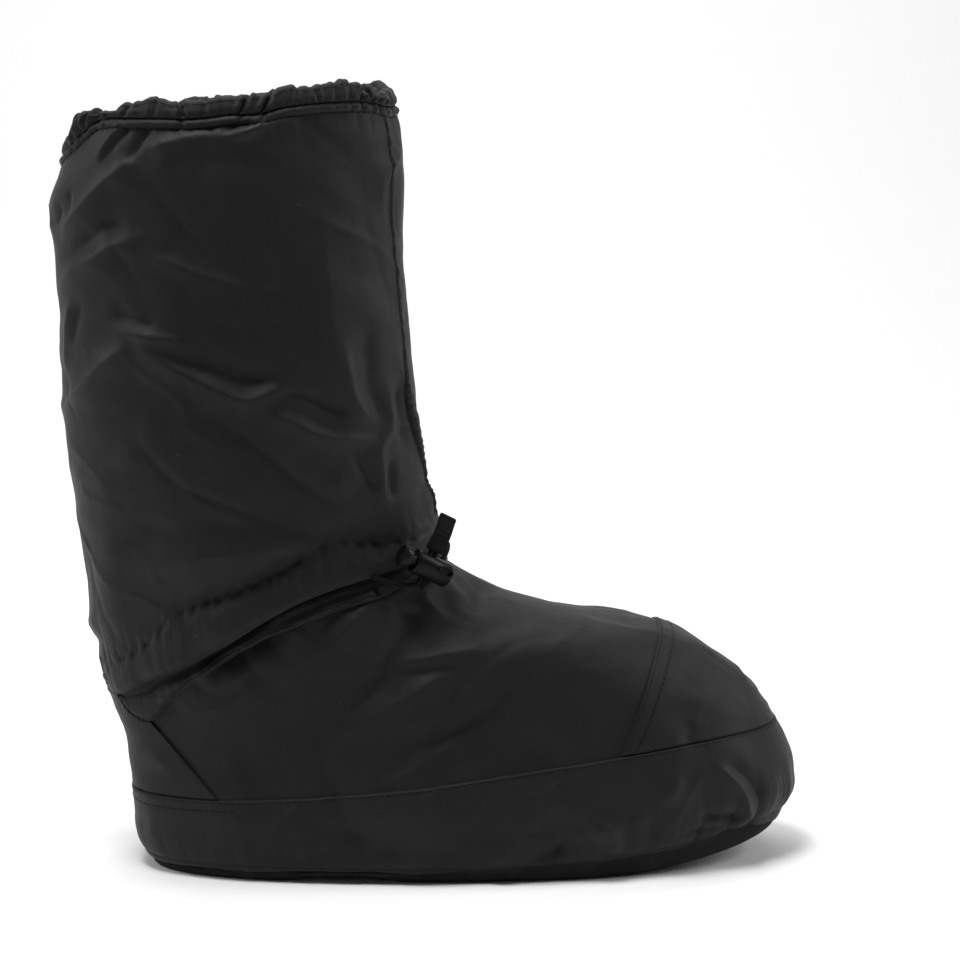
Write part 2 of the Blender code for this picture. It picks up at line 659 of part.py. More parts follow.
def make_button(group, cutters):
    lying = turned(LOCK_UP, LOCK_OUT, LOCK_ALONG)
    head = rod("lock_button", (BUTTON_HEIGHT / 2, BUTTON_DEPTH / 2), BUTTON_LENGTH, 28,
               in_lock(-BUTTON_GAP - BUTTON_LENGTH / 2, 0, 0), lying, group)
    head.data.materials.append(make_material("button_plastic"))
    bevel(head, 0.0010, 2, 40)
    start = -BUTTON_GAP - BUTTON_LENGTH / 2
    stem = rod("button_stem", (STEM_RADIUS, STEM_RADIUS), STEM_END - start, 24,
               in_lock((STEM_END + start) / 2, 0, 0), lying, cutters)
    cut(head, stem, "UNION")
    upright = turned(LOCK_ALONG, LOCK_OUT, -LOCK_UP)
    slot = box("button_slot", (SLOT_LENGTH + BUTTON_TRAVEL, SLOT_WIDTH, LOCK_HEIGHT),
               in_lock(SLOT_MIDDLE - BUTTON_TRAVEL / 2, 0, 0), upright, cutters)
    cut(head, slot)
    return head


def tube(name, material, points, radius, group):
    """A cord along points, with closed ends."""
    curve = bpy.data.curves.new(name, "CURVE")
    curve.dimensions = "3D"
    curve.bevel_depth = radius
    curve.bevel_resolution = 2
    curve.use_fill_caps = True
    spline = curve.splines.new("POLY")
    spline.points.add(len(points) - 1)
    for place, point in zip(spline.points, points):
        place.co = (*map(float, point), 1.0)
    curve.materials.append(make_material(material))
    thing = bpy.data.objects.new(name, curve)
    group.objects.link(thing)
    return thing


def bend(points, count):
    """A smooth line through points, by a cubic with evened slopes."""
    points = np.array(points)
    length = np.concatenate([[0], np.cumsum(np.linalg.norm(np.diff(points, axis=0), axis=1))])
    rise = np.diff(points, axis=0) / np.diff(length)[:, None]
    slope = np.vstack([rise[:1], (rise[:-1] + rise[1:]) / 2, rise[-1:]])
    s = np.linspace(0, length[-1], count)
    k = np.clip(np.searchsorted(length, s, side="right") - 1, 0, len(points) - 2)
    h = np.diff(length)[k][:, None]
    u = ((s - length[k]) / np.diff(length)[k])[:, None]
    return ((2 * u**3 - 3 * u**2 + 1) * points[k] + (u**3 - 2 * u**2 + u) * h * slope[k]
            + (3 * u**2 - 2 * u**3) * points[k + 1] + (u**3 - u**2) * h * slope[k + 1])


def exit_place(angle):
    """Where a strand leaves the channel: in its dip, at an angle round from the front."""
    low, high = SHAFT_ROWS["channel low"][0], SHAFT_ROWS["channel high"][0]
    t = low + CHANNEL_DIP_SHARE * (high - low)
    theta = np.radians(angle)
    return at(theta, t, 0.0), outward(theta, t)


def strand_points(angle, shift, count):
    """A strand from its exit, up through the lock and into the tab."""
    place, normal = exit_place(angle)
    along = SLOT_MIDDLE + shift
    inner = place + normal * (GAP * 2 + CHANNEL_FLOOR + CORD_RADIUS)
    clear = place + normal * CORD_STAND_OFF
    below = in_lock(along, -LOCK_HEIGHT / 2 - 0.0035, 0)
    entry = in_lock(along, -LOCK_HEIGHT / 2, 0)
    leave = in_lock(along, LOCK_HEIGHT / 2, 0)
    end = in_lock(along, LOCK_HEIGHT / 2 + 0.0055, 0)
    return bend([inner, clear, below, entry, leave, end], count)


def make_cords(group):
    outer = strand_points(CORD_OUTER_EXIT, -CORD_PITCH / 2, 14)
    inner = strand_points(CORD_INNER_EXIT, CORD_PITCH / 2, 14)
    tube("cord_outer", "cord_black", outer, CORD_RADIUS, group)
    tube("cord_inner", "cord_black", inner, CORD_RADIUS, group)


def make_tab(group, cutters):
    start = LOCK_HEIGHT / 2 + 0.0020
    facing = turned(LOCK_ALONG, LOCK_UP, LOCK_OUT)
    tab = box("pull_tab", (TAB_WIDTH, TAB_LENGTH, TAB_THICKNESS),
              in_lock(SLOT_MIDDLE, start + TAB_LENGTH / 2, 0), facing, group)
    tab.data.materials.append(make_material("tab_tape"))
    bevel(tab, 0.0007, 2, 40)
    socket = box("tab_socket", (SLOT_LENGTH, TAB_SOCKET * 2, SLOT_WIDTH),
                 in_lock(SLOT_MIDDLE, start, 0), facing, cutters)
    cut(tab, socket)
    return tab


def cut_exits(channel, cutters):
    """The two holes the strands leave the channel by."""
    for angle, name in ((CORD_OUTER_EXIT, "exit_outer"), (CORD_INNER_EXIT, "exit_inner")):
        place, normal = exit_place(angle)
        first = Vector(np.cross(normal, (0.0, 0.0, 1.0))).normalized()
        second = Vector(normal).cross(first)
        radius = CORD_RADIUS + 2 * GAP
        hole = rod(name, (radius, radius), 0.012, 16,
                   place + normal * (GAP + CHANNEL_FLOOR + 0.006), turned(first, second, normal),
                   cutters)
        cut(channel, hole)


def build():
    for thing in list(bpy.data.objects):
        bpy.data.objects.remove(thing, do_unlink=True)
    group = bpy.data.collections.new("overboot")
    bpy.context.scene.collection.children.link(group)
    cutters = bpy.data.collections.new("cutters")
    bpy.context.scene.collection.children.link(cutters)
    make_outsole(group, cutters)
    make_insole(group)
    make_upper(group)
    make_rand(group)
    make_toe_cap(group)
    make_heel_counter(group)
    channel = make_channel(group)
    cut_exits(channel, cutters)
    make_collar_band(group)
    make_collar(group)
    make_front_seam(group)
    make_lock(group, cutters)
    make_button(group, cutters)
    make_cords(group)
    make_tab(group, cutters)


build()
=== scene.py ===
"""Looks of the soft overboot: cloth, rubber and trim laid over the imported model.

Metres, toe to +X, wearer's inner side to +Y. Each piece is worked out from the surface that
the solids come from, form(theta, t): theta goes round the boot from its front, t goes up it
from under the foot (0) to the rim (1). Creases, gathers and slack are one relief along that
surface's normal, so every piece that is sewn on moves with the cloth under it.
"""

import bmesh
import bpy
import numpy as np
from mathutils import Matrix, Vector


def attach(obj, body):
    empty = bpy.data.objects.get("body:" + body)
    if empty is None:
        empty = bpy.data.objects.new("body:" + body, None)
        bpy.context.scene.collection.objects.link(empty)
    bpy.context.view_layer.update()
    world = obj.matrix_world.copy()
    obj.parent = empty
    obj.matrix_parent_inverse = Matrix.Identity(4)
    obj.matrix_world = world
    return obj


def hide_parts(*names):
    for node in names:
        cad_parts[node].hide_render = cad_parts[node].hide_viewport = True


bl_info = {
    "name": "Soft Overboot",
    "version": (1, 0, 0),
    "blender": (4, 5, 0),
    "location": "3D View > Sidebar > Overboot",
    "description": "Lays cloth, rubber and trim over the packed overboot",
    "category": "Add Mesh",
}

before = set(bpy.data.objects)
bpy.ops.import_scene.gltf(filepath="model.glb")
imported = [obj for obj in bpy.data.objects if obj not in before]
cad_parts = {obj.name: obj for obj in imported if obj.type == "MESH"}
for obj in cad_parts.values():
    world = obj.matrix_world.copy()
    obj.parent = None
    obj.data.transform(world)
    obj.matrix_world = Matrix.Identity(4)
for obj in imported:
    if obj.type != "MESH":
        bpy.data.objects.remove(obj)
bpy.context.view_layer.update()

# Sizes of the boot, metres, as in the part's source
FOOT_LENGTH = 0.336
BALL_WIDTH = 0.117
HEEL_HEIGHT = 0.080
INSTEP_HEIGHT = 0.151
BOOT_HEIGHT = 0.391
SHAFT_DEPTH = 0.172
SHAFT_WIDTH = 0.120
LEAN_BACK = 0.024
TOE_INWARD = 0.010
WAIST_IN = 0.004
GAP = 0.0003
WALL = 0.0025
PANEL_THICKNESS = 0.0010
RAND_THICKNESS = 0.0012
TOE_SPRING = 0.014
SOLE_LIP = 0.0018
ARCH_LIFT = 0.0025
GROOVE_WIDTH = 0.0040
GROOVE_DEPTH = 0.0020
GROOVE_RIM = 0.0110
GROOVE_PITCH = 0.0125
HEEL_TREAD_SPACE = 0.0243
HEEL_GROOVES = 4
BALL_GROOVES = 8
CORD_RADIUS = 0.0013

# Places along the foot, as shares of the foot length
SHAFT_MIDDLE_SHARE = -0.2783
TOE_INWARD_FROM_SHARE = -0.0298
WAIST_AT_SHARE = -0.0893
WAIST_REACH_SHARE = 0.1339
SPRING_FROM_SHARE = 0.1488
SPRING_TO_SHARE = 0.4702
ARCH_AT_SHARE = -0.1845
ARCH_REACH_SHARE = 0.0774
BALL_TREAD_FROM_SHARE = 0.0298

# Places up the form, as t
SOLE_LIP_T = 0.042
RAND_FROM_T = 0.046
RAND_SEAM_T = 0.190
CHANNEL_LOW_T = 0.500
COUNTER_TOP_T = 0.545
CHANNEL_HIGH_T = 0.570
BAND_FROM_T = 0.9850
BAND_TO_T = 0.9905
FEATHER_T = 0.030
WAIST_GONE_T = 0.350
RIM_RIDES_FROM_T = 0.905
RIM_RIDES_FULLY_T = 0.985

# Seam planes of cap and counter seen from the side: x, z and run forward per height
CAP_PLANE = (0.0985, 0.1195, 0.41)
COUNTER_PLANE = (-0.157, 0.078, -0.94)

# Sections of foot and shaft, as in the part's source: t, then rear x, rear z, front x, front z,
# width (for the shaft middle, depth, rear z, front z, width), widest, rear n, front n, power, bow
FOOT_ROWS = (
    (0.000, -0.4360, 0.075, 0.4370, 0.150, 0.800, 0.620, 2.70, 2.30, 4.00, 0.000),
    (0.030, -0.4710, 0.090, 0.4740, 0.163, 0.900, 0.620, 2.80, 2.30, 4.00, 0.000),
    (0.060, -0.4890, 0.180, 0.4990, 0.200, 0.970, 0.620, 2.80, 2.35, 3.00, 0.000),
    (0.110, -0.4945, 0.340, 0.5025, 0.290, 0.995, 0.615, 2.80, 2.40, 1.80, 0.000),
    (0.190, -0.4990, 0.510, 0.4730, 0.455, 0.965, 0.610, 2.70, 2.40, 1.20, 0.000),
    (0.270, -0.5040, 0.640, 0.4170, 0.605, 0.920, 0.570, 2.50, 2.40, 1.10, 0.002),
    (0.350, -0.5080, 0.750, 0.3000, 0.785, 0.870, 0.490, 2.40, 2.30, 1.05, 0.005),
    (0.430, -0.5140, 0.870, 0.1150, 0.860, 0.830, 0.450, 2.30, 2.20, 1.00, 0.009),
)
SHAFT_ROWS = (
    (0.500, 0.00, 0.960, 0.000, 0.000, 0.800, 0.470, 2.20, 2.00, 1.10, 0.010),
    (0.570, 0.29, 0.980, 0.077, 0.110, 0.840, 0.490, 2.10, 2.00, 1.00, 0.008),
    (0.660, 0.50, 0.990, 0.225, 0.205, 0.930, 0.500, 2.10, 2.10, 1.00, 0.004),
    (0.780, 0.77, 1.005, 0.475, 0.395, 0.990, 0.500, 2.10, 2.10, 1.00, 0.000),
    (0.900, 0.98, 0.998, 0.740, 0.695, 1.000, 0.500, 2.10, 2.10, 1.00, 0.000),
    (0.955, 1.01, 1.000, 0.855, 0.850, 0.980, 0.500, 2.10, 2.10, 1.00, 0.000),
    (0.980, 0.95, 0.960, 0.908, 0.925, 0.925, 0.500, 2.10, 2.10, 1.00, 0.000),
    (1.000, 0.92, 0.905, 0.962, 0.995, 0.875, 0.500, 2.10, 2.10, 1.00, 0.000),
)
FLAT_RISE_UP_TO = 0.190
EVEN_RISE_FROM = 0.500
# Half of the step, in radians and in t, from which a normal is worked out
NORMAL_STEP = 2e-4


# Curves

def fade(x, start, end):
    """0 before start, 1 after end, with a smooth step between."""
    u = np.clip((x - start) / (end - start), 0, 1)
    return u * u * (3 - 2 * u)


def bell(x, middle, reach):
    """1 at the middle and dying out both ways: e to minus the square of distance over reach."""
    return np.exp(-((x - middle) / reach) ** 2)


def unit(vectors):
    """Vectors divided by their own length."""
    return vectors / np.linalg.norm(vectors, axis=-1, keepdims=True)


def length_along(line):
    """How far each point of a line is from its first: the lengths of its steps, summed."""
    return np.concatenate([[0], np.cumsum(np.linalg.norm(np.diff(line, axis=0), axis=1))])


def bend(x, knots, values):
    """A smooth curve through values at knots: cubics whose slopes are weighted means."""
    step = np.diff(knots)
    rise = np.diff(values, axis=0) / step[:, None]
    slope = np.empty_like(values)
    slope[0], slope[-1] = rise[0], rise[-1]
    slope[1:-1] = ((rise[:-1] * step[1:, None] + rise[1:] * step[:-1, None])
                   / (step[:-1] + step[1:])[:, None])
    k = np.clip(np.searchsorted(knots, x, side="right") - 1, 0, len(step) - 1)
    u = ((x - knots[k]) / step[k])[..., None]
    h = step[k][..., None]
    return ((2 * u**3 - 3 * u**2 + 1) * values[k] + (u**3 - 2 * u**2 + u) * h * slope[k]
            + (3 * u**2 - 2 * u**3) * values[k + 1] + (u**3 - u**2) * h * slope[k + 1])


def spline(table, count):
    """count points along a smooth line through a short table of places."""
    table = np.array(table, float)
    return bend(np.linspace(0, len(table) - 1, count), np.arange(len(table), dtype=float), table)


def degrees_round(theta):
    """theta in degrees, from -180 to 180."""
    return np.mod(np.degrees(theta) + 180, 360) - 180


def from_table(table, theta):
    """The later columns of a table at theta, smooth between rows; its first is degrees round."""
    table = np.array(table)
    return np.moveaxis(bend(degrees_round(theta), table[:, 0], table[:, 1:]), -1, 0)


# The form

def form_rows():
    """Both tables turned into metres: knots t, and per row the ten numbers of a section."""
    rows = []
    for t, rear_x, rear_z, front_x, front_z, width, *rest in FOOT_ROWS:
        rows.append((t, rear_x * FOOT_LENGTH, rear_z * HEEL_HEIGHT, front_x * FOOT_LENGTH,
                     front_z * INSTEP_HEIGHT, width * BALL_WIDTH / 2, *rest))
    for t, middle, depth, rear_z, front_z, width, *rest in SHAFT_ROWS:
        x = SHAFT_MIDDLE_SHARE * FOOT_LENGTH - middle * LEAN_BACK
        half = depth * SHAFT_DEPTH / 2
        rows.append((t, x - half, HEEL_HEIGHT + rear_z * (BOOT_HEIGHT - HEEL_HEIGHT), x + half,
                     INSTEP_HEIGHT + front_z * (BOOT_HEIGHT - INSTEP_HEIGHT),
                     width * SHAFT_WIDTH / 2, *rest))
    table = np.array(rows)
    return table[:, 0], table[:, 1:]


KNOTS, SECTIONS = form_rows()


def form(theta, t):
    """Points of the outer surface: two half superellipses per section, rising to the front."""
    theta, t = np.broadcast_arrays(np.asarray(theta, float), np.asarray(t, float))
    values = np.moveaxis(bend(t, KNOTS, SECTIONS), -1, 0)
    rear_x, rear_z, front_x, front_z, half, widest, rear_n, front_n, power, bow = values
    c, s = np.cos(theta), np.sin(theta)
    middle = rear_x + widest * (front_x - rear_x)
    reach = np.where(c >= 0, front_x - middle, middle - rear_x)
    n = np.where(c >= 0, front_n, rear_n)
    x = middle + reach * np.sign(c) * np.abs(c) ** (2 / n)
    y = half * np.sign(s) * np.abs(s) ** (2 / n)
    along = np.clip((x - rear_x) / (front_x - rear_x), 0, 1)
    late = fade(along**power, 0, 1)
    even = np.clip((t - FLAT_RISE_UP_TO) / (EVEN_RISE_FROM - FLAT_RISE_UP_TO), 0, 1)
    rise = late + (along - late) * even
    z = rear_z + (front_z - rear_z) * rise + bow * np.sin(np.pi * along)
    y = y + TOE_INWARD * fade(x / FOOT_LENGTH, TOE_INWARD_FROM_SHARE, 0.5)
    waist = bell(x / FOOT_LENGTH, WAIST_AT_SHARE, WAIST_REACH_SHARE)
    y = y - WAIST_IN * waist * np.clip(1 - t / WAIST_GONE_T, 0, 1) * np.clip(s, 0, 1)
    return np.stack([x, y, z], -1)


def outward(theta, t):
    """Unit normals of the form: a step round it crossed with a step up it."""
    e = NORMAL_STEP
    t = np.clip(t, e, 1 - e)
    across = form(theta + e, t) - form(theta - e, t)
    up = form(theta, t + e) - form(theta, t - e)
    return unit(np.cross(across, up))


# How the elastic lets the rim ride up or slump: degrees round, millimetres
RIM_RIDES = (
    (-180, -15), (-173, -15), (-162, -11.8), (-156, -9.4), (-150, -6.4), (-146, -4.4),
    (-141, -1.4), (-137, 1), (-132, 1.8), (-122, 1.2), (-109, 0.2), (-102, -0.7), (-94, -0.7),
    (-88, 0), (-81, -0.6), (-76, 0.2), (-71, 1.6), (-64, 2.3), (-48, 2.4), (-38, 1.8), (-28, 0.2),
    (-20, -1.4), (-8, -1.8), (8, -0.6), (24, 1.2), (44, -0.6), (62, 1.4), (84, -0.4), (104, 1.2),
    (124, -1), (142, -4), (156, -9), (170, -13.8), (180, -15),
)


def at(theta, t, out):
    """Points at a distance out of the form, moved up or down near the rim as it rides."""
    theta, t = np.broadcast_arrays(np.asarray(theta, float), np.asarray(t, float))
    points = form(theta, t) + np.asarray(out)[..., None] * outward(theta, t)
    ride = from_table(RIM_RIDES, theta)[0] * 1e-3
    points[..., 2] += ride * fade(t, RIM_RIDES_FROM_T, RIM_RIDES_FULLY_T)
    return points


# Relief: creases listed one by one, gathers at the seams, and the cloth's slack

# Height, width above and width below in millimetres (a trough is less than 0), then how much
# of each end fades, then the places that the crease passes, as degrees round and t
CREASES = {
    # Outer side of the shaft, from the band down
    "shoulder": (3.4, 3.6, 8, 0.1, 0.3, (
        (-114, 0.9725), (-100, 0.9795), (-86, 0.98), (-74, 0.9835), (-52, 0.985))),
    "pucker a": (-1.7, 2, 2, 0, 0.6, ((-114, 0.984), (-117.5, 0.9725), (-121, 0.955))),
    "pucker b": (-1.7, 2, 2, 0, 0.6, ((-122.5, 0.984), (-127.5, 0.9725), (-132, 0.956))),
    "pucker c": (2.4, 3, 3, 0, 0.5, ((-126.5, 0.984), (-133, 0.9625))),
    "pucker d": (2, 2.2, 2.2, 0, 0.5, ((-78, 0.984), (-89, 0.9765))),
    "pucker e": (-2, 2.2, 2.2, 0, 0.5, ((-83, 0.985), (-93, 0.979))),
    "long ridge": (2.9, 4, 7.5, 0.15, 0.3, (
        (-116, 0.968), (-127.5, 0.95), (-144.5, 0.9275), (-163, 0.905))),
    "rear nick": (-2, 2.6, 2.6, 0.3, 0.4, ((-148.5, 0.9525), (-147, 0.9275))),
    "rear nick low": (-2.2, 3, 3, 0.3, 0.4, ((-154, 0.9425), (-160.5, 0.92))),
    "hollow": (-2.6, 5, 4, 0.3, 0.3, (
        (-119, 0.9175), (-127.5, 0.92), (-136.5, 0.9125), (-150, 0.9))),
    "second ridge": (3.2, 3.6, 7.5, 0.25, 0.3, (
        (-109, 0.914), (-126, 0.905), (-137.5, 0.895), (-153.5, 0.885), (-170, 0.87))),
    "rear groove": (-1.7, 2.6, 2.6, 0.3, 0.3, ((-144, 0.865), (-148.5, 0.85), (-152.5, 0.8325))),
    "rear rib": (2.4, 4, 4, 0.3, 0.3, ((-150, 0.872), (-156, 0.845), (-163, 0.81))),
    "over main": (-2, 4, 3.5, 0.3, 0.3, ((-131, 0.858), (-119, 0.8525), (-110, 0.846))),
    "main start": (2.5, 2.6, 4, 0.3, 0.5, (
        (-132, 0.851), (-119, 0.8425), (-106.5, 0.8375), (-97, 0.832))),
    "main rear": (3, 5, 7, 0.2, 0.3, (
        (-118, 0.839), (-133, 0.8225), (-145, 0.805), (-159.5, 0.7925), (-172, 0.782))),
    "main fold": (3, 3.2, 8.5, 0.2, 0.35, ((-121, 0.836), (-107.5, 0.8175), (-95.5, 0.8),
        (-86.5, 0.7875), (-78, 0.793), (-64, 0.7965))),
    "main hollow": (-2.4, 6, 4, 0.3, 0.3, (
        (-111, 0.829), (-95, 0.8125), (-84, 0.8025), (-70, 0.807))),
    "front fold": (3, 3.2, 8, 0.25, 0.4, (
        (-84, 0.778), (-73, 0.7625), (-63.5, 0.745), (-49.5, 0.7325), (-41, 0.731))),
    "front hollow": (-2.5, 5, 3.6, 0.3, 0.35, (
        (-79, 0.7935), (-69, 0.785), (-59, 0.77), (-51, 0.763))),
    "slack low": (1.8, 6, 6, 0.4, 0.4, ((-112, 0.773), (-124.5, 0.755), (-138, 0.74))),
    "front groove": (-2.4, 6, 6, 0.3, 0.3, (
        (-38, 0.845), (-42, 0.82), (-43.5, 0.79), (-41, 0.765), (-37, 0.74))),
    "beside groove": (2.2, 5, 5, 0.4, 0.3, ((-53, 0.84), (-50.5, 0.7775), (-43, 0.7475))),
    "front band": (2.3, 4.5, 4.5, 0.2, 0.2, (
        (-33, 0.805), (-33.5, 0.745), (-41.5, 0.716), (-42, 0.682), (-42.5, 0.651), (-42, 0.6))),
    "front lens": (-2.3, 3, 3, 0.3, 0.3, ((-37.5, 0.702), (-38.5, 0.67), (-39.5, 0.635))),
    "edge hollow": (-2.2, 4, 4, 0.3, 0.3, ((-26, 0.79), (-25.5, 0.744), (-27, 0.69))),
    "front slant": (-2.2, 3.6, 3.6, 0.3, 0.3, ((-55, 0.726), (-49, 0.692), (-46.5, 0.655))),
    "front lobe": (1.9, 8, 8, 0.3, 0.3, ((-59, 0.712), (-59.5, 0.665), (-51, 0.611))),
    "front edge": (1.7, 11, 11, 0.3, 0.3, ((-57, 0.935), (-56, 0.86), (-54, 0.68))),
    "low trough": (-2.4, 12, 12, 0.3, 0.3, ((-146.5, 0.6825), (-104.5, 0.671), (-60, 0.606))),
    "low ridge": (2.4, 10, 10, 0.3, 0.3, ((-140, 0.655), (-100, 0.64), (-62, 0.585))),
    "over channel": (-2.9, 6, 7, 0.2, 0.05, ((-124, 0.592), (-108, 0.588), (-95, 0.584),
        (-80, 0.582), (-66, 0.588), (-55, 0.575), (-44, 0.555))),
    # Outer side of the foot
    "under hem": (-6.4, 6, 6.5, 0.3, 0.35, (
        (-114, 0.5), (-104, 0.4995), (-92, 0.502), (-79, 0.5085))),
    "hem notch": (-2.5, 4, 3, 0.1, 0.5, ((-91, 0.04), (-89.5, 0.06), (-88, 0.098))),
    "rand lobe": (2.8, 5, 6, 0.1, 0.5, ((-94, 0.046), (-92.5, 0.075), (-91, 0.112), (-88, 0.15))),
    "rand lobe front": (2.6, 5, 6, 0.1, 0.5, ((-78, 0.046), (-80, 0.075), (-83, 0.108))),
    "vamp ridge": (3.4, 4, 6, 0, 0.5, ((-54, 0.497), (-58.5, 0.49), (-72, 0.4725), (-86, 0.452))),
    "vamp trough": (-3.2, 6, 6, 0.1, 0.4, (
        (-49, 0.478), (-60, 0.45), (-72, 0.4275), (-87, 0.38), (-97, 0.345))),
    "vamp lump": (3, 6, 6, 0.2, 0.4, ((-36, 0.508), (-44.5, 0.4675), (-53, 0.438))),
    "vamp lump front": (2.5, 6, 6, 0.2, 0.4, ((-20, 0.498), (-29, 0.47), (-35, 0.445))),
    "vamp valley": (-2.8, 5, 5, 0.3, 0.4, ((5, 0.476), (-25, 0.462), (-42, 0.445))),
    "vamp spot": (2.5, 3.6, 6, 0.4, 0.4, ((-80, 0.41), (-69, 0.3975), (-58, 0.395))),
    "vamp spot under": (-2.1, 4, 4, 0.4, 0.4, ((-84, 0.39), (-78, 0.378), (-69, 0.375))),
    "side ridge": (3.1, 6, 8, 0.3, 0.4, (
        (-108, 0.298), (-94, 0.3325), (-83, 0.3575), (-74, 0.375))),
    "side trough": (-3.4, 7, 7, 0.3, 0.4, ((-105, 0.243), (-92, 0.28), (-79, 0.31), (-68, 0.335))),
    "toe soft": (1.8, 5, 5, 0.4, 0.4, ((-62, 0.15), (-69, 0.105))),
    "toe dip": (-1.4, 4, 4, 0.4, 0.4, ((-50, 0.2275), (-59, 0.1825))),
    "toe crease": (2.7, 2.6, 5, 0.3, 0.3, (
        (-54, 0.165), (-46.5, 0.115), (-42.5, 0.0675), (-37, 0.045))),
    "toe crease side": (-2.1, 3, 3, 0.3, 0.3, ((-49, 0.16), (-41, 0.115), (-36, 0.072))),
    "pleat high": (-3.1, 3, 3, 0.3, 0.3, ((-61, 0.084), (-50, 0.066), (-38, 0.052))),
    "pleat low": (-2.7, 2.6, 2.6, 0.3, 0.3, ((-66, 0.06), (-54, 0.052), (-44, 0.048))),
    "rand ridge": (2.5, 6, 8, 0.3, 0.3, ((-93, 0.165), (-86, 0.11), (-79, 0.06))),
    "rand trough": (-2.1, 8, 8, 0.3, 0.3, ((-113, 0.115), (-102, 0.06))),
    "counter soft": (1.4, 5, 7, 0.4, 0.4, ((-152, 0.38), (-146, 0.25))),
    # Inner side
    "inner shoulder": (2.5, 3, 8, 0.2, 0.2, ((52, 0.982), (74, 0.979), (96, 0.981), (118, 0.975))),
    "inner long": (3.1, 4, 7, 0.2, 0.3, ((112, 0.965), (128, 0.945), (150, 0.93), (166, 0.912))),
    "inner hollow": (-2.9, 6, 4, 0.3, 0.3, ((78, 0.84), (95, 0.853), (114, 0.873))),
    "inner main": (3.2, 3.4, 8.5, 0.3, 0.35, ((60, 0.835), (78, 0.82), (98, 0.835), (122, 0.862))),
    "inner second": (2.9, 5, 8, 0.3, 0.4, ((93, 0.768), (120, 0.776), (142, 0.802))),
    "inner groove": (-2.7, 5, 5, 0.3, 0.3, ((62, 0.792), (49, 0.752), (41, 0.708))),
    "inner low": (2.7, 9, 9, 0.4, 0.4, ((50, 0.7), (70, 0.68), (104, 0.702))),
    "inner low trough": (-2.5, 10, 10, 0.4, 0.4, ((66, 0.618), (105, 0.668), (134, 0.69))),
    "inner vamp": (2.6, 5, 7, 0.1, 0.5, ((56, 0.492), (75, 0.46), (93, 0.408))),
    "inner vamp trough": (-2.8, 6, 6, 0.2, 0.4, ((44, 0.472), (62, 0.43), (82, 0.368))),
    "inner side": (2.8, 6, 8, 0.4, 0.4, ((74, 0.376), (88, 0.35), (103, 0.315))),
    "inner side trough": (-2.5, 6, 6, 0.4, 0.4, ((69, 0.322), (86, 0.29), (99, 0.255))),
    "inner toe": (2.2, 3, 5, 0.3, 0.3, ((52, 0.16), (44, 0.115), (38, 0.055))),
    "inner pleat": (-2.6, 3, 3, 0.3, 0.3, ((60, 0.082), (47, 0.058), (36, 0.048))),
    "inner rand": (2.2, 6, 7, 0.3, 0.3, ((84, 0.06), (90, 0.11), (97, 0.155))),
    # Rear and front
    "rear high": (2.6, 5, 7, 0.3, 0.3, ((162, 0.928), (180, 0.916), (196, 0.93))),
    "rear middle": (-2.8, 5, 5, 0.3, 0.3, ((158, 0.862), (175, 0.851), (192, 0.866))),
    "rear low": (2.9, 5, 7, 0.3, 0.3, ((152, 0.8), (176, 0.786), (200, 0.798))),
    "heel bend": (2.6, 5, 6, 0.3, 0.3, ((152, 0.628), (178, 0.612), (206, 0.624))),
    "heel bend under": (-2.5, 4, 5, 0.3, 0.3, ((156, 0.6), (180, 0.59), (202, 0.598))),
    "front bend": (1.1, 5, 6, 0.3, 0.3, ((-20, 0.628), (2, 0.612), (28, 0.63))),
    "front bend under": (-1.1, 5, 5, 0.3, 0.3, ((-24, 0.66), (0, 0.642), (26, 0.664))),
}

# Seams that gather the cloth: t, side (1 above, -1 below), then pitch, depth and reach in
# millimetres of the short puckers and of the long ones
GATHERS = (
    (BAND_FROM_T, -1, 8.5, 0.75, 7.0, 23.0, 1.05, 20.0),
    (CHANNEL_HIGH_T, 1, 6.0, 1.00, 6.0, 25.0, 1.60, 24.0),
    (CHANNEL_LOW_T, -1, 8.0, 0.70, 6.0, 22.0, 1.10, 17.0),
    (RAND_SEAM_T, 1, 7.0, 0.22, 4.0, 31.0, 0.30, 12.0),
    (RAND_SEAM_T, -1, 7.0, 0.25, 4.0, 26.0, 0.40, 12.0),
    (RAND_FROM_T, 1, 9.0, 0.35, 9.0, 29.0, 0.70, 17.0),
)
# Where a strand leaves the channel, and high on the outer side, the cloth lies nearly still:
# degrees round, t, reach in metres, and the share that is taken off its relief
STILL = ((-51.0, 0.525, 0.009), (3.0, 0.525, 0.009), (-72.0, 0.920, 0.026))
STILLED = 0.9
# Slack: size and height in metres. Crush: size, height, and how narrow its ridges are
SLACK = ((0.085, 0.00115), (0.036, 0.00055), (0.016, 0.00016))
CRUSH = ((0.060, 0.00130, 0.26), (0.042, -0.00090, 0.26), (0.026, 0.00055, 0.28))
# The way that the crushed folds run, on the shaft and on the foot
SHAFT_WAY = np.array([0.83, 0.20, -0.52])
FOOT_WAY = np.array([0.80, 0.25, 0.54])
# How far the crush is drawn out along that way, and how large its patches are over its folds
DRAWN_OUT = 0.66
PATCH_OVER_FOLD = 1.4
# Under the channel the cloth is drawn in: metres, t and reach in t, and the turns where it
# isn't: the lock's side of the front (twice, for either side of 0) and the rear, as degrees
# round and reach
DRAWN_IN, DRAWN_IN_T, DRAWN_IN_REACH = 0.0034, 0.515, 0.0105
NOT_DRAWN_IN = ((334.0, 33.0), (-26.0, 33.0), (180.0, 28.0))
# Down the rear the cloth is calmer: share taken off its relief, degrees round and reach
REAR_CALM, REAR_CALM_AT, REAR_CALM_REACH = 0.40, 184.0, 34.0
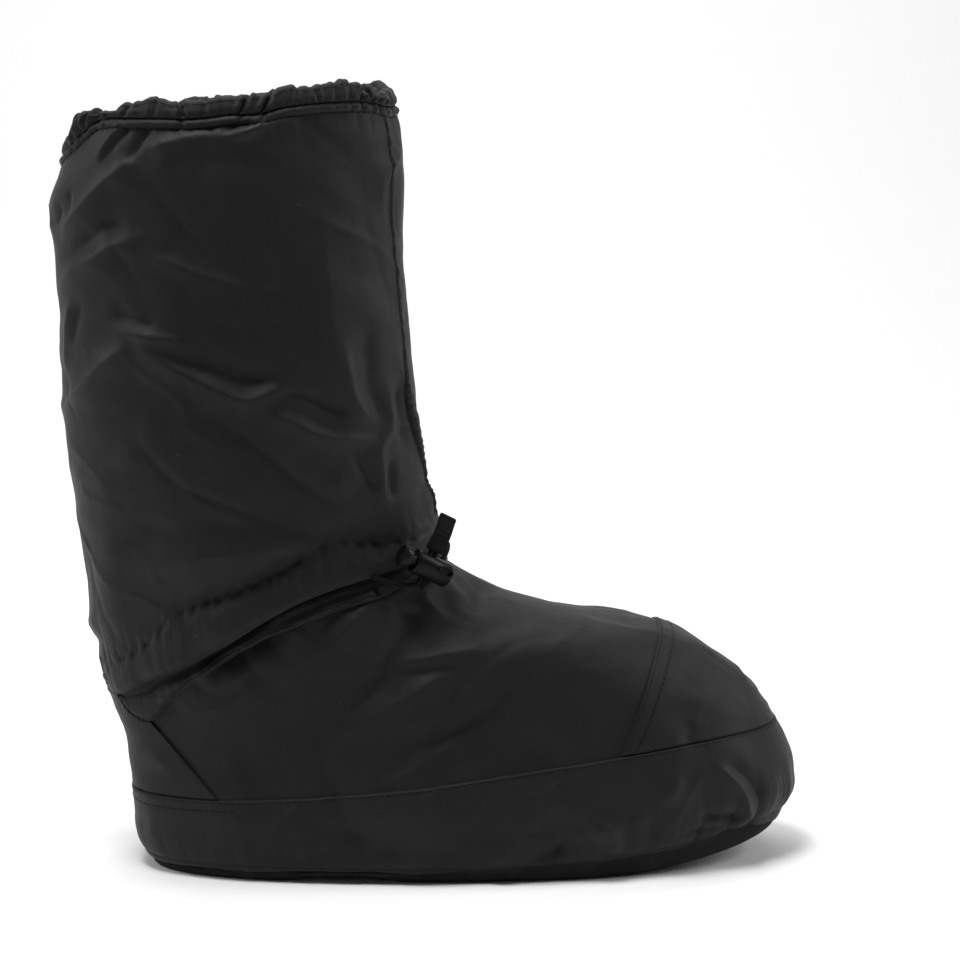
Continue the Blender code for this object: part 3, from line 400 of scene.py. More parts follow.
# A crease: points along its line, how many widths away it is felt (in metres to a millimetre
# of width), and how steep a ridge and a trough are
CREASE_POINTS = 30
CREASE_FELT = 2.8e-3
RIDGE_POWER, TROUGH_POWER = 1.35, 1.7
# How many waves are summed in the slack
WAVES = 14


def wander(share, seed, waves=(1, 2, 3, 5, 8)):
    """A smooth line round the boot, about -1 to 1: sines of whole numbers of turns, summed."""
    chance = np.random.default_rng(seed)
    total = np.zeros_like(share)
    for k in waves:
        total += chance.uniform(0.5, 1.0) * np.sin(2 * np.pi * (k * share + chance.random()))
    return total / (0.75 * len(waves)) ** 0.5 / 1.2


def bumps(share, count, seed):
    """Rounded bumps with narrow valleys, -0.6 to 0.4: the size of a sine whose beat drifts."""
    drift = 1.9 * wander(share, seed) + 0.9 * wander(share, seed + 1, (4, 7, 11, 13))
    high = 0.62 + 0.38 * wander(share, seed + 2, (3, 5, 7, 10, 14))
    return (np.abs(np.sin(np.pi * count * share + drift)) ** 0.75 - 0.6) * high


def lumps(points, size, seed):
    """Slack in the cloth: a sum of sines that run all ways through space, about size apart."""
    chance = np.random.default_rng(seed)
    way = unit(chance.normal(size=(WAVES, 3)))
    beat = 2 * np.pi / (size * chance.uniform(0.75, 1.4, WAVES))
    start = chance.uniform(0, 2 * np.pi, WAVES)
    total = np.zeros(points.shape[:-1])
    for k in range(WAVES):
        total += np.sin(points @ (way[k] * beat[k]) + start[k])
    return total / WAVES**0.5


def round_share(theta, t):
    """Share of the way round a row of the form by length, 0 at the front, and its length."""
    turn = np.linspace(0, 2 * np.pi, 1441)
    length = length_along(form(turn, t))
    return np.interp(np.mod(theta, 2 * np.pi), turn, length) / length[-1], length[-1]


def puckers(theta, t, pitch, seed):
    """Bumps round a row of the form, as many as fit at a pitch in metres."""
    share, length = round_share(theta, t)
    return bumps(share, round(length / pitch), seed)


def crease_line(places):
    """Points along a crease on the form, their normals, and whether they run from its end.

    The line is evenly mixed between its places, and always drawn the way that theta grows.
    """
    places = np.array(places, float)
    theta_t = np.column_stack([np.radians(places[:, 0]), places[:, 1]])
    turned = theta_t[-1, 0] < theta_t[0, 0]
    theta, t = spline(theta_t[::-1] if turned else theta_t, CREASE_POINTS).T
    return form(theta, t), outward(theta, t), turned


def crease_relief(points):
    """Each crease: its height times a bell of the distance to its line, fading at both ends."""
    total = np.zeros(len(points))
    for high, wide_above, wide_below, fade_in, fade_out, places in CREASES.values():
        line, normal, turned = crease_line(places)
        if turned:
            fade_in, fade_out = fade_out, fade_in
        reach = CREASE_FELT * max(wide_above, wide_below)
        near = np.all((points > line.min(0) - reach) & (points < line.max(0) + reach), axis=1)
        if not near.any():
            continue
        # The nearest point of the line, as a step of it (k) and a share of that step
        p = points[near]
        start, step = line[:-1], np.diff(line, axis=0)
        share = np.einsum("nmk,mk->nm", p[:, None] - start, step) / (step**2).sum(1)
        share = np.clip(share, 0, 1)
        gap = ((p[:, None] - start - share[..., None] * step) ** 2).sum(-1)
        k = gap.argmin(axis=1)
        row = np.arange(len(p))
        share, gap = share[row, k], np.sqrt(gap[row, k])
        above = np.cross(normal[:-1], step)[k]
        side = ((p - start[k] - share[:, None] * step[k]) * above).sum(1)
        wide = np.where(side > 0, wide_above, wide_below) * 1e-3
        along = (k + share) / len(step)
        ends = fade(along, -0.001, fade_in) * fade(1 - along, -0.001, fade_out)
        power = RIDGE_POWER if high > 0 else TROUGH_POWER
        total[near] += high * 1e-3 * ends * np.exp(-(gap / wide) ** power)
    return total


def dying(gap, reach, reach_beyond):
    """1 at a seam, dying out over reach on its gathered side and over the other beyond it."""
    return np.where(gap >= 0, np.exp(-np.clip(gap, 0, None) / reach),
                    np.exp(np.clip(gap, None, 0) / reach_beyond))


def gather_relief(theta, t):
    """Puckers at each seam: bumps round the boot that die out with distance from the seam."""
    total = np.zeros_like(theta)
    e = 0.004
    for k, (seam, side, pitch, high, reach, *long) in enumerate(GATHERS):
        long_pitch, long_high, long_reach = long
        scale = np.linalg.norm(form(theta, seam + e) - form(theta, seam - e), axis=-1) / (2 * e)
        gap = side * (t - seam) * scale * 1000
        total += (dying(gap, reach, 1.0) * high
                  * puckers(theta, seam, pitch * 1e-3, 20 + 7 * k))
        total += (dying(gap, long_reach, 1.5) * long_high
                  * puckers(theta, seam, long_pitch * 1e-3, 90 + 7 * k))
    return total * 1e-3


def crush_relief(points, way):
    """Crushed folds that run one way, in patches: narrow ridges where soft noise is near 0."""
    drawn = points - DRAWN_OUT * (points @ way)[:, None] * way
    total = np.zeros(len(points))
    for k, (size, high, narrow) in enumerate(CRUSH):
        patch = np.clip(0.30 + 0.8 * lumps(drawn, PATCH_OVER_FOLD * size, 340 + k), 0, 1)
        total += high * patch * np.exp(-np.abs(lumps(drawn, size, 320 + k) / narrow) ** 1.5)
    return total


def relief(theta, t):
    """How far the cloth stands off the form, metres: creases, gathers, slack and crush, less
    where it lies still, is drawn in under the channel, or is held by the sole and the band."""
    theta, t = np.broadcast_arrays(np.asarray(theta, float), np.asarray(t, float))
    shape = theta.shape
    theta, t = theta.ravel(), t.ravel()
    points = form(theta, t)
    total = crease_relief(points) + gather_relief(theta, t)
    for k, (size, high) in enumerate(SLACK):
        total += high * lumps(points, size, 300 + k)
    on_shaft = fade(t, 0.48, 0.62)
    total += on_shaft * crush_relief(points, SHAFT_WAY)
    total += (1 - on_shaft) * crush_relief(points, FOOT_WAY)
    for degrees, place, reach in STILL:
        gap = np.linalg.norm(points - form(np.radians(degrees), place), axis=1)
        total *= 1 - STILLED * bell(gap, 0, reach)
    turn = np.mod(np.degrees(theta), 360)
    drawn_in = DRAWN_IN * bell(t, DRAWN_IN_T, DRAWN_IN_REACH)
    for degrees, reach in NOT_DRAWN_IN:
        drawn_in = drawn_in * (1 - bell(turn, degrees, reach))
    total -= drawn_in
    total *= 1 - REAR_CALM * bell(turn, REAR_CALM_AT, REAR_CALM_REACH)
    held = 0.85 * fade(t, BAND_FROM_T - 0.002, BAND_FROM_T + 0.004)
    total *= fade(t, 0.038, 0.062) * (1 - held)
    strength = bpy.context.scene.overboot_cloth.fold_strength
    return (total * strength).reshape(shape)


def cloth(theta, t, out):
    """Points of the cloth: the form, its relief, and a distance out of it. Also the relief."""
    theta, t = np.broadcast_arrays(np.asarray(theta, float), np.asarray(t, float))
    raised = relief(theta, t)
    return at(theta, t, out + raised), raised


# Meshes

def quad_mesh(name, points, corners, smooth=True):
    """A mesh from its points and four point numbers for each face."""
    mesh = bpy.data.meshes.new(name)
    mesh.vertices.add(points.size // 3)
    mesh.vertices.foreach_set("co", points.astype(np.float32).ravel())
    mesh.loops.add(corners.size)
    mesh.polygons.add(len(corners))
    mesh.loops.foreach_set("vertex_index", corners.ravel().astype(np.int32))
    mesh.polygons.foreach_set("loop_start", np.arange(0, corners.size, 4, dtype=np.int32))
    mesh.update(calc_edges=True)
    mesh.polygons.foreach_set("use_smooth", np.full(len(corners), smooth))
    return mesh


def grid_corners(row, column, next_row, next_column, wide):
    """Point numbers of each face of a grid: row times the grid's width, plus column."""
    return np.stack(np.broadcast_arrays(row * wide + column, row * wide + next_column,
                                        next_row * wide + next_column, next_row * wide + column),
                    -1).reshape(-1, 4)


def sheet_mesh(name, points, around=False, through=False, uv=None, worn=None, smooth=True):
    """A mesh from a grid of points: rows go up the boot, columns round it.

    A column step crossed with a row step points out. Around joins the last column to the
    first, through joins the last row to the first. uv has one column or row more where the
    grid is joined, so that the pattern runs on past the join.
    """
    rows, columns = points.shape[:2]
    i = np.arange(rows if through else rows - 1)[:, None]
    j = np.arange(columns if around else columns - 1)[None, :]
    corners = grid_corners(i, j, (i + 1) % rows, (j + 1) % columns, columns)
    mesh = quad_mesh(name, points, corners, smooth)
    if uv is not None:
        places = grid_corners(i, j, i + 1, j + 1, uv.shape[1]).ravel()
        layer = mesh.uv_layers.new(name="cloth")
        layer.data.foreach_set("uv", uv.reshape(-1, 2)[places].astype(np.float32).ravel())
    # The relief as an attribute: the nylon paint makes crests lighter as wear and hollows darker
    # as painted shade
    if worn is not None:
        layer = mesh.attributes.new("worn", "FLOAT", "POINT")
        layer.data.foreach_set("value", worn.astype(np.float32).ravel())
    mesh.validate()
    return mesh


def cloth_uv(points, around=False, through=False, from_top=False):
    """Metres along the cloth: u round it by the middle row, v up it (or down from its top)."""
    if around:
        points = np.concatenate([points, points[:, :1]], axis=1)
    if through:
        points = np.concatenate([points, points[:1]], axis=0)
    u = length_along(points[len(points) // 2])
    v = np.concatenate([np.zeros((1, points.shape[1])),
                        np.cumsum(np.linalg.norm(np.diff(points, axis=0), axis=2), axis=0)])
    if from_top:
        v = v[-1] - v
    return np.stack([np.broadcast_to(u, v.shape), v], -1)


def show(mesh, paint, body, replaced=()):
    """Puts a finished mesh into the scene, painted and riding on its body."""
    piece = bpy.data.objects.new(mesh.name, mesh)
    bpy.context.scene.collection.objects.link(piece)
    mesh.materials.append(paint)
    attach(piece, body)
    if replaced:
        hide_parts(*replaced)
    return piece


def join_meshes(name, meshes):
    """One mesh out of several, their UV maps and attributes kept."""
    bm = bmesh.new()
    for mesh in meshes:
        bm.from_mesh(mesh)
        bpy.data.meshes.remove(mesh)
    whole = bpy.data.meshes.new(name)
    bm.to_mesh(whole)
    bm.free()
    return whole


def worked(mesh, *steps):
    """The mesh after steps of bmesh: each is a tool, the kinds of parts it takes, its settings."""
    bm = bmesh.new()
    bm.from_mesh(mesh)
    for tool, kinds, settings in steps:
        tool(bm, **{kind: getattr(bm, kind)[:] for kind in kinds}, **settings)
    bm.to_mesh(mesh)
    bm.free()
    return mesh


def merging(reach):
    """The step that makes doubled points one."""
    return bmesh.ops.remove_doubles, ["verts"], {"dist": reach}


def merged(mesh, reach=2e-6):
    """The mesh with its doubled points made one."""
    return worked(mesh, merging(reach))


def capping(sides):
    """The step that fills open ends of so many sides."""
    return bmesh.ops.holes_fill, ["edges"], {"sides": sides}


def turns(count):
    """Columns round the boot, evenly spaced, in radians."""
    return np.radians(np.linspace(0, 360, count, endpoint=False))[None, :]


# Paint: shader values written as sums

class Value:
    """A shader socket that is used in sums like a number."""

    def __init__(self, paint, socket):
        self.paint, self.socket = paint, socket

    def __add__(self, other):
        return self.paint.math("ADD", self, other)

    __radd__ = __add__

    def __sub__(self, other):
        return self.paint.math("SUBTRACT", self, other)

    def __rsub__(self, other):
        return self.paint.math("SUBTRACT", other, self)

    def __mul__(self, other):
        return self.paint.math("MULTIPLY", self, other)

    __rmul__ = __mul__

    def __gt__(self, other):
        return self.paint.math("GREATER_THAN", self, other)

    def __neg__(self):
        return self * -1.0


class Paint:
    """A material: one shader, its fixed numbers on its own sockets, its patterns as sums."""

    def __init__(self, name, **fixed):
        self.material = bpy.data.materials.new(name)
        self.material.use_nodes = True
        self.tree = self.material.node_tree
        self.shader = self.tree.nodes["Principled BSDF"]
        for socket, value in fixed.items():
            self.shader.inputs[socket.replace("_", " ")].default_value = value
        self.places = {}

    def node(self, kind, settings=None, inputs=None, output=0):
        """Any node: its settings first, then numbers and links on its sockets; one output."""
        made = self.tree.nodes.new(kind)
        for key, value in (settings or {}).items():
            setattr(made, key, value)
        for key, value in (inputs or {}).items():
            if isinstance(value, Value):
                self.tree.links.new(value.socket, made.inputs[key])
            else:
                made.inputs[key].default_value = value
        return Value(self, made.outputs[output])

    def math(self, operation, *values):
        """One Math node, its values in order."""
        return self.node("ShaderNodeMath", {"operation": operation}, dict(enumerate(values)))

    def feed(self, socket, value):
        """Links a value to a socket of the shader."""
        self.tree.links.new(value.socket, self.shader.inputs[socket])

    def object_place(self):
        """The place on the piece, in its object's metres."""
        if "object" not in self.places:
            self.places["object"] = self.node("ShaderNodeTexCoord", output="Object")
        return self.places["object"]

    def cloth_place(self):
        """u and v of the piece's own map, in metres."""
        if "u" not in self.places:
            place = self.node("ShaderNodeUVMap", {"uv_map": "cloth"})
            self.places["u"] = self.node("ShaderNodeSeparateXYZ", None, {0: place}, 0)
            self.places["v"] = self.node("ShaderNodeSeparateXYZ", None, {0: place}, 1)
        return self.places["u"], self.places["v"]

    def noise(self, size, detail=3.0, rough=0.5):
        """Soft noise through space, its lumps about size apart, from 0 to 1."""
        return self.node("ShaderNodeTexNoise", None,
                         {"Vector": self.object_place(), "Scale": 1 / size, "Detail": detail,
                          "Roughness": rough})

    def step(self, value, low, high):
        """0 below low, 1 above high, smooth between."""
        return self.node("ShaderNodeMapRange", {"interpolation_type": "SMOOTHSTEP"},
                         {"Value": value, "From Min": low, "From Max": high})

    def mix(self, share, first, second):
        """The first colour where share is 0, the second where it is 1."""
        return self.node("ShaderNodeMix", {"data_type": "RGBA"},
                         {0: share, 6: first, 7: second}, 2)

    def bump(self, height):
        """Height in metres, laid on the shader's normal."""
        self.feed("Normal", self.node("ShaderNodeBump", None, {
            "Strength": 1.0, "Distance": 1.0, "Height": height}))

    def crossed(self, first, second):
        """Two sets of threads in turn over and under, by the signs of their sines."""
        over = (first * second) > 0.0
        high_first, high_second = self.math("ABSOLUTE", first), self.math("ABSOLUTE", second)
        return high_first * over + high_second * (1.0 - over)

    def weave(self, pitch):
        """Plain weave: threads across the cloth and along it, a sine each."""
        u, v = self.cloth_place()
        return self.crossed(self.math("SINE", u * (np.pi / pitch)),
                            self.math("SINE", v * (np.pi / pitch)))

    def toned(self, share, colour, low, high):
        """One colour at two strengths: low where share is 0, high where it is 1."""
        return self.mix(share, shade(colour, low), shade(colour, high))

    def finished(self, base, roughness):
        """Feeds the colour and the roughness; returns the material."""
        self.feed("Base Color", base)
        self.feed("Roughness", roughness)
        return self.material

    def groove(self, v, place, half):
        """1 on a line at v, 0 beyond half either side."""
        return 1.0 - self.step(self.math("ABSOLUTE", v - place), half * 0.25, half)


# Colours that lie on others; how deep a stitch row sinks, and how far to either side it sinks and
# carries painted shade, metres
LINT = (0.11, 0.11, 0.11, 1.0)
SCUFFED = (0.055, 0.053, 0.050, 1.0)
ROW_SINKS = 2.0e-4
ROW_SINKS_OVER = 0.0009


def shade(colour, factor):
    """A colour times a number, with full alpha."""
    return (*[min(1.0, c * factor) for c in colour[:3]], 1.0)


def nylon_paint(name, colour, rows=(), roughness=0.58, pitch=0.00075, shine=0.17):
    """Woven nylon: weave, fine crumple, wear on crests, painted shade in hollows and sunk stitch
    rows.
    """
    crumpled = bpy.context.scene.overboot_cloth.crumple
    paint = Paint(name, Specular_IOR_Level=shine, Sheen_Weight=0.05, Sheen_Roughness=0.45)
    v = paint.cloth_place()[1]
    weave = paint.weave(pitch)
    crumple = paint.noise(0.0065, 4.0, 0.55)
    drift = paint.noise(0.060, 2.0)
    fine = paint.noise(0.0012, 2.0)
    # The relief: crests are painted lighter as wear, hollows darker as painted shade
    worn = paint.node("ShaderNodeAttribute", {"attribute_name": "worn"}, None, "Fac")
    crest = paint.step(worn, 0.0006, 0.0034)
    hollow = paint.step(-worn, 0.0008, 0.0030)
    height = weave * 2.2e-5 + crumple * (2.6e-4 * crumpled) + fine * 1.6e-5 + drift * 2.0e-4
    sunk = None
    for place in rows:
        line = paint.groove(v, place, ROW_SINKS_OVER)
        sunk = line if sunk is None else sunk + line
    if rows:
        height = height - sunk * ROW_SINKS
    paint.bump(height)
    base = paint.toned(paint.step(drift, 0.35, 0.65), colour, 0.90, 1.08)
    base = paint.mix(crest * 0.5, base, shade(colour, 1.45))
    # Painted shade: the hollows of the cloth darker
    base = paint.mix(hollow * 0.5, base, shade(colour, 0.72))
    lint = paint.step(paint.noise(0.0030, 1.0), 0.765, 0.795)
    base = paint.mix(lint * 0.12, base, LINT)
    # Painted shade between the threads, where the weave dips
    base = paint.mix((weave * -0.25) + 0.25, base, shade(colour, 0.60))
    # Painted shade: the sunk stitch rows nearly black
    if rows:
        base = paint.mix(paint.math("MINIMUM", sunk, 1.0) * 0.8, base, shade(colour, 0.25))
    return paint.finished(base, roughness + (crumple - 0.5) * 0.16 + hollow * 0.10 - crest * 0.07)


def rubber_paint(name, colour):
    """Matt rubber: a fine pebble, scuffs that run along, and dust on raised spots."""
    paint = Paint(name, Specular_IOR_Level=0.10)
    pebble = paint.node("ShaderNodeTexVoronoi", {"feature": "SMOOTH_F1"},
                        {"Vector": paint.object_place(), "Scale": 900.0, "Smoothness": 0.6})
    wear = paint.noise(0.018, 4.0, 0.6)
    stretched = paint.node("ShaderNodeMapping", None,
                           {"Vector": paint.object_place(), "Scale": (60.0, 420.0, 420.0)})
    scuff = paint.node("ShaderNodeTexNoise", None, {"Vector": stretched, "Scale": 1.0,
                                                    "Detail": 3.0, "Roughness": 0.6})
    marks = paint.step(scuff, 0.60, 0.72)
    paint.bump(pebble * 4.0e-5 + wear * 1.2e-4 - marks * 3.0e-5)
    base = paint.toned(paint.step(wear, 0.45, 0.75), colour, 0.9, 1.6)
    base = paint.mix(marks * 0.10, base, SCUFFED)
    return paint.finished(base, 0.62 + wear * 0.22)


def felt_paint(name, colour):
    """Felt: short fibres that lie all ways, pressed flatter where the foot stands."""
    paint = Paint(name, Specular_IOR_Level=0.2, Sheen_Weight=0.5, Sheen_Roughness=0.6)
    fibre = paint.node("ShaderNodeTexNoise", {"noise_dimensions": "3D"},
                       {"Vector": paint.object_place(), "Scale": 1400.0, "Detail": 5.0,
                        "Distortion": 1.6})
    pressed = paint.noise(0.030, 2.0)
    paint.bump(fibre * 2.2e-4 + pressed * 3.0e-4)
    base = paint.toned(paint.step(fibre, 0.35, 0.7), colour, 0.7, 1.7)
    base = paint.mix(paint.step(pressed, 0.5, 0.7) * 0.5, base, shade(colour, 0.7))
    return paint.finished(base, 0.86 + pressed * 0.1)


def plastic_paint(name, colour):
    """Moulded plastic: satin, with a faint spark-eroded grain and rubbed patches."""
    paint = Paint(name, Specular_IOR_Level=0.12)
    grain = paint.noise(0.0005, 2.0)
    rubbed = paint.noise(0.006, 3.0)
    paint.bump(grain * 2.0e-5 + rubbed * 2.0e-5)
    return paint.finished(paint.toned(paint.step(rubbed, 0.5, 0.7), colour, 1.0, 1.8),
                          0.27 + rubbed * 0.16)


def braid_paint(name, colour, pitch):
    """Braided cord or ribbed tape: strands that cross at a slant, painted lighter where raised and
    darker where sunk.
    """
    paint = Paint(name, Specular_IOR_Level=0.08, Sheen_Weight=0.02)
    u, v = paint.cloth_place()
    strand = paint.crossed(paint.math("SINE", (u + v) * (np.pi / pitch)),
                           paint.math("SINE", (u - v) * (np.pi / pitch)))
    fibre = paint.noise(0.0004, 2.0)
    paint.bump(strand * 7.0e-5 + fibre * 2.0e-5)
    # Painted light and shade: the raised strand lighter, the sunk one darker
    return paint.finished(paint.toned(strand, colour, 0.55, 1.4), 0.66 + fibre * 0.16)


def thread_paint(name, colour):
    """Sewing thread: matt, with fibres that stand off it."""
    paint = Paint(name, Specular_IOR_Level=0.1)
    fibre = paint.noise(0.0004, 2.0)
    paint.bump(fibre * 2.0e-5)
    return paint.finished(paint.toned(fibre, colour, 0.6, 1.4), 0.66 + fibre * 0.16)


def floor_paint(name, colour):
    """Pale studio floor: nearly even, with a trace of unevenness."""
    paint = Paint(name, Specular_IOR_Level=0.15)
    cloud = paint.noise(0.5, 2.0)
    return paint.finished(paint.toned(cloud, colour, 0.985, 1.0), 0.85 + cloud * 0.05)


# Sizes and colours that a user would change

def length(name, description, default):
    """A setting in metres."""
    return bpy.props.FloatProperty(name=name, description=description, default=default, min=0.0,
                                   subtype="DISTANCE", unit="LENGTH", precision=5)


def colour(name, description, grey):
    """A setting for a colour, a neutral grey unless the user changes it."""
    return bpy.props.FloatVectorProperty(name=name, description=description, subtype="COLOR",
                                         size=3, min=0.0, max=1.0, default=(grey, grey, grey))


class OverbootCloth(bpy.types.PropertyGroup):
    """Cloth, seams and stitches."""
    fold_strength: bpy.props.FloatProperty(
        name="Fold strength", description="Share of the full height of creases and gathers",
        default=1.0, min=0.0, max=1.5, subtype="FACTOR")
    crumple: bpy.props.FloatProperty(
        name="Crumple", description="Share of the fine crumple in the cloth", default=1.0,
        min=0.0, max=2.0, subtype="FACTOR")
    weave_pitch: length("Weave pitch", "From one thread of the nylon to the next", 0.00075)
    stitch_length: length("Stitch length", "Thread that shows at each stitch", 0.0022)
    stitch_pitch: length("Stitch pitch", "From one stitch to the next", 0.0034)
    thread_radius: length("Thread radius", "Half the thickness of the thread", 0.00018)
    pleat_pitch: length("Collar pleat pitch", "From one pleat of the collar to the next", 0.0060)
    pleat_depth: length("Collar pleat depth", "How deep an ordinary pleat sinks", 0.0007)


class OverbootColours(bpy.types.PropertyGroup):
    """Colours of the boot and its stage."""
    nylon: colour("Nylon", "Shaft and foot", 0.0100)
    panel: colour("Panels", "Rand, toe cap and heel counter", 0.0100)
    band: colour("Bands", "Collar, channel and front seam", 0.0095)
    lining: colour("Lining", "Inside of the shaft", 0.0100)
    rubber: colour("Sole", "Rubber sole", 0.0120)
    felt: colour("Insole", "Felt insole", 0.0300)
    plastic: colour("Cord lock", "Moulded lock and button", 0.0034)
    cord: colour("Cord", "Drawcord and pull tab", 0.0042)
    thread: colour("Thread", "Stitches", 0.0045)
    floor: colour("Floor", "Studio floor", 0.86)


def paint_once(name, maker, part, *values, **settings):
    """A material by its name, made in the part's colour the first time that it is asked for."""
    grey = tuple(getattr(bpy.context.scene.overboot_colours, part))
    return bpy.data.materials.get(name) or maker(name, grey, *values, **settings)


def nylon(name, part, **settings):
    """Woven nylon in the part's colour, at the weave that the user has set."""
    pitch = bpy.context.scene.overboot_cloth.weave_pitch
    return paint_once(name, nylon_paint, part, pitch=pitch, **settings)


def lay_cloth(name, points, worn, paint, replaced=(), around=True, through=False,
              from_top=False):
    """Cloth of the boot: a mesh with its map in metres, painted and put into the scene."""
    uv = cloth_uv(points, around, through, from_top)
    return show(sheet_mesh(name, points, around, through, uv, worn), paint, "boot", replaced)


# Stitches

BEAD_RINGS = 5
BEAD_SIDES = 6
# How far the thread stands off the cloth, and the first stitch row from a sewn edge
THREAD_PROUD = 0.0002
EDGE_ROW = 0.0014


def stitch_template():
    """One stitch of unit length and radius: rings of a bead that is thin at its ends."""
    along = np.array([-1.0, -0.82, 0.0, 0.82, 1.0])
    radius = np.array([0.10, 0.80, 1.0, 0.80, 0.10])
    turn = np.radians(np.arange(BEAD_SIDES) * 360 / BEAD_SIDES)
    ring = np.stack([np.zeros(BEAD_SIDES), np.cos(turn), np.sin(turn)], -1)
    points = ring[None] * radius[:, None, None]
    points[..., 0] = along[:, None]
    return points


def along_line(line, far, places):
    """Points, or normals, at distances along a line, by straight lines between its own."""
    return np.stack([np.interp(places, far, line[:, k]) for k in range(3)], -1)


def stitches_along(theta, t, out):
    """Stitches on a line of the cloth: each lies in the line and on the surface's normal."""
    settings = bpy.context.scene.overboot_cloth
    line, _ = cloth(theta, t, out)
    far = length_along(line)
    middle = np.arange(settings.stitch_pitch / 2, far[-1], settings.stitch_pitch)
    along = unit(along_line(line, far, middle + 0.0005) - along_line(line, far, middle - 0.0005))
    side = unit(np.cross(along_line(outward(theta, t), far, middle), along))
    up = np.cross(along, side)
    chance = np.random.default_rng(len(middle))
    half = settings.stitch_length / 2 * chance.uniform(0.9, 1.08, len(middle))
    lean = chance.uniform(-0.10, 0.10, len(middle))
    bead = stitch_template()[None, ..., None]
    own = (slice(None), None, None)
    return (along_line(line, far, middle)[own]
            + (along + side * lean[:, None])[own] * bead[..., 0, :] * half[:, None, None, None]
            + side[own] * bead[..., 1, :] * settings.thread_radius
            + up[own] * bead[..., 2, :] * settings.thread_radius)


def bead_mesh(name, beads):
    """All the beads of all rows as one mesh, each a closed skin over its rings."""
    beads = np.concatenate(beads)
    i = np.arange(BEAD_RINGS - 1)[:, None]
    j = np.arange(BEAD_SIDES)[None, :]
    corners = grid_corners(i, j, i + 1, (j + 1) % BEAD_SIDES, BEAD_SIDES)
    first = BEAD_RINGS * BEAD_SIDES * np.arange(len(beads))
    mesh = quad_mesh(name, beads, (corners[None] + first[:, None, None]).reshape(-1, 4))
    mesh.validate()
    return worked(mesh, capping(BEAD_SIDES), (bmesh.ops.recalc_face_normals, ["faces"], {}))


# Upper: shaft, foot and lining

def make_shaft():
    """The shaft: cloth from behind the ankle channel up to the rim."""
    points, raised = cloth(turns(400), np.linspace(0.533, 0.9925, 216)[:, None], 0.0)
    lay_cloth("shaft_cloth", points, raised, nylon("nylon_shaft", "nylon"), ["upper"])


def make_foot():
    """The foot: cloth from under the sole's lip up to behind the ankle channel."""
    points, raised = cloth(turns(560), np.linspace(0.036, 0.546, 116)[:, None], 0.0)
    lay_cloth("foot_cloth", points, raised, nylon("nylon_shaft", "nylon"))


def make_lining():
    """The inside of the boot, a wall's thickness in, smoother than the outside."""
    theta = turns(180)
    t = np.linspace(0.020, 0.9925, 120)[:, None]
    raised = 0.6 * relief(theta, t)
    paint = nylon("lining_cloth", "lining", roughness=0.7, shine=0.2)
    lay_cloth("lining", at(theta, t, raised - WALL)[:, ::-1], raised, paint)


# Panels sewn on the foot

# Piece, its paint, its middle in radians, its seam plane, columns, rows, distances of its stitch
# rows from its edge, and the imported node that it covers
PANELS = (
    ("toe_cap_cloth", "nylon_cap", 0.0, CAP_PLANE, 300, 90, (EDGE_ROW, 0.0080), "toe_cap"),
    ("heel_counter_cloth", "nylon_counter", np.pi, COUNTER_PLANE, 180, 72, (EDGE_ROW,),
     "heel_counter"),
)
# A sewn edge: how deep it is tucked, and over what distance it rolls up to the flat cloth
EDGE_TUCK = 0.0004
EDGE_ROLL = 0.0011


def plane_crossing(theta, plane):
    """The t at which each column of the form crosses a seam plane, by lines between samples."""
    x, z, run = plane
    at_heel = plane is COUNTER_PLANE
    t = np.linspace(RAND_SEAM_T, COUNTER_TOP_T if at_heel else CHANNEL_LOW_T, 260)
    points = form(theta[:, None], t[None, :])
    gap = (points[..., 0] - x) - run * (points[..., 2] - z)
    below = (-gap if at_heel else gap) > 0
    never = below.all(axis=1)
    first = np.where(never, len(t) - 1, np.argmin(below, axis=1))
    last = np.clip(first - 1, 0, None)
    row = np.arange(len(theta))
    g0, g1 = gap[row, last], gap[row, first]
    share = np.where(never | (first == 0), 0, g0 / np.where(g0 == g1, 1, g0 - g1))
    crossing = t[last] + share * (t[first] - t[last])
    return np.where(first == 0, RAND_SEAM_T, np.where(never, t[-1], crossing))


def panel_span(middle, plane):
    """Where a panel's seam meets the rand seam either side of its middle, in radians."""
    reach = np.radians(np.linspace(20, 110, 400))
    low, high = [reach[np.argmax(plane_crossing(middle + side * reach, plane)
                                 <= RAND_SEAM_T + 1e-6)] for side in (-1, 1)]
    return middle - low, middle + high


def crowded(count, strength):
    """Shares from 0 to 1 that lie closer at both ends: less a sine of one whole turn."""
    share = np.linspace(0, 1, count)
    return share - np.sin(2 * np.pi * share) / (2 * np.pi) * strength


def strip_height(v, height, thickness):
    """A sewn edge: tucked at the rim, rolled over in a quarter circle, then the flat cloth."""
    rim = np.minimum(v, height - v)
    rolled = np.sqrt(np.clip(1 - (1 - np.clip(rim / EDGE_ROLL, 0, 1)) ** 2, 0, 1))
    return (GAP + thickness + EDGE_TUCK) * rolled - EDGE_TUCK


def panel(name, middle, plane, columns, rows, rows_at):
    """A panel between the rand seam and a seam plane, or the channel's hem where that is lower.

    Also its stitch rows, each as theta and t where the panel is high enough to carry it.
    """
    low, high = panel_span(middle, plane)
    theta = low + (high - low) * crowded(columns, 0.25)
    top = np.minimum(plane_crossing(theta, plane), channel_t(theta, 0.05))
    t = RAND_SEAM_T + (top - RAND_SEAM_T)[None, :] * crowded(rows, 0.8)[:, None]
    theta = np.broadcast_to(theta, t.shape)
    v = cloth_uv(form(theta, t), from_top=True)[..., 1]
    height = np.maximum(v[0], 1e-6)
    points, raised = cloth(theta, t, strip_height(v, height, PANEL_THICKNESS))
    mesh = merged(sheet_mesh(name, points, uv=cloth_uv(points, from_top=True), worn=raised))
    lines = []
    for place in rows_at:
        fits = np.where(height > place * 1.6)[0]
        if len(fits) > 4:
            row_t = np.array([np.interp(place, v[::-1, k], t[::-1, k]) for k in fits])
            lines.append((theta[0, fits], row_t))
    return mesh, lines


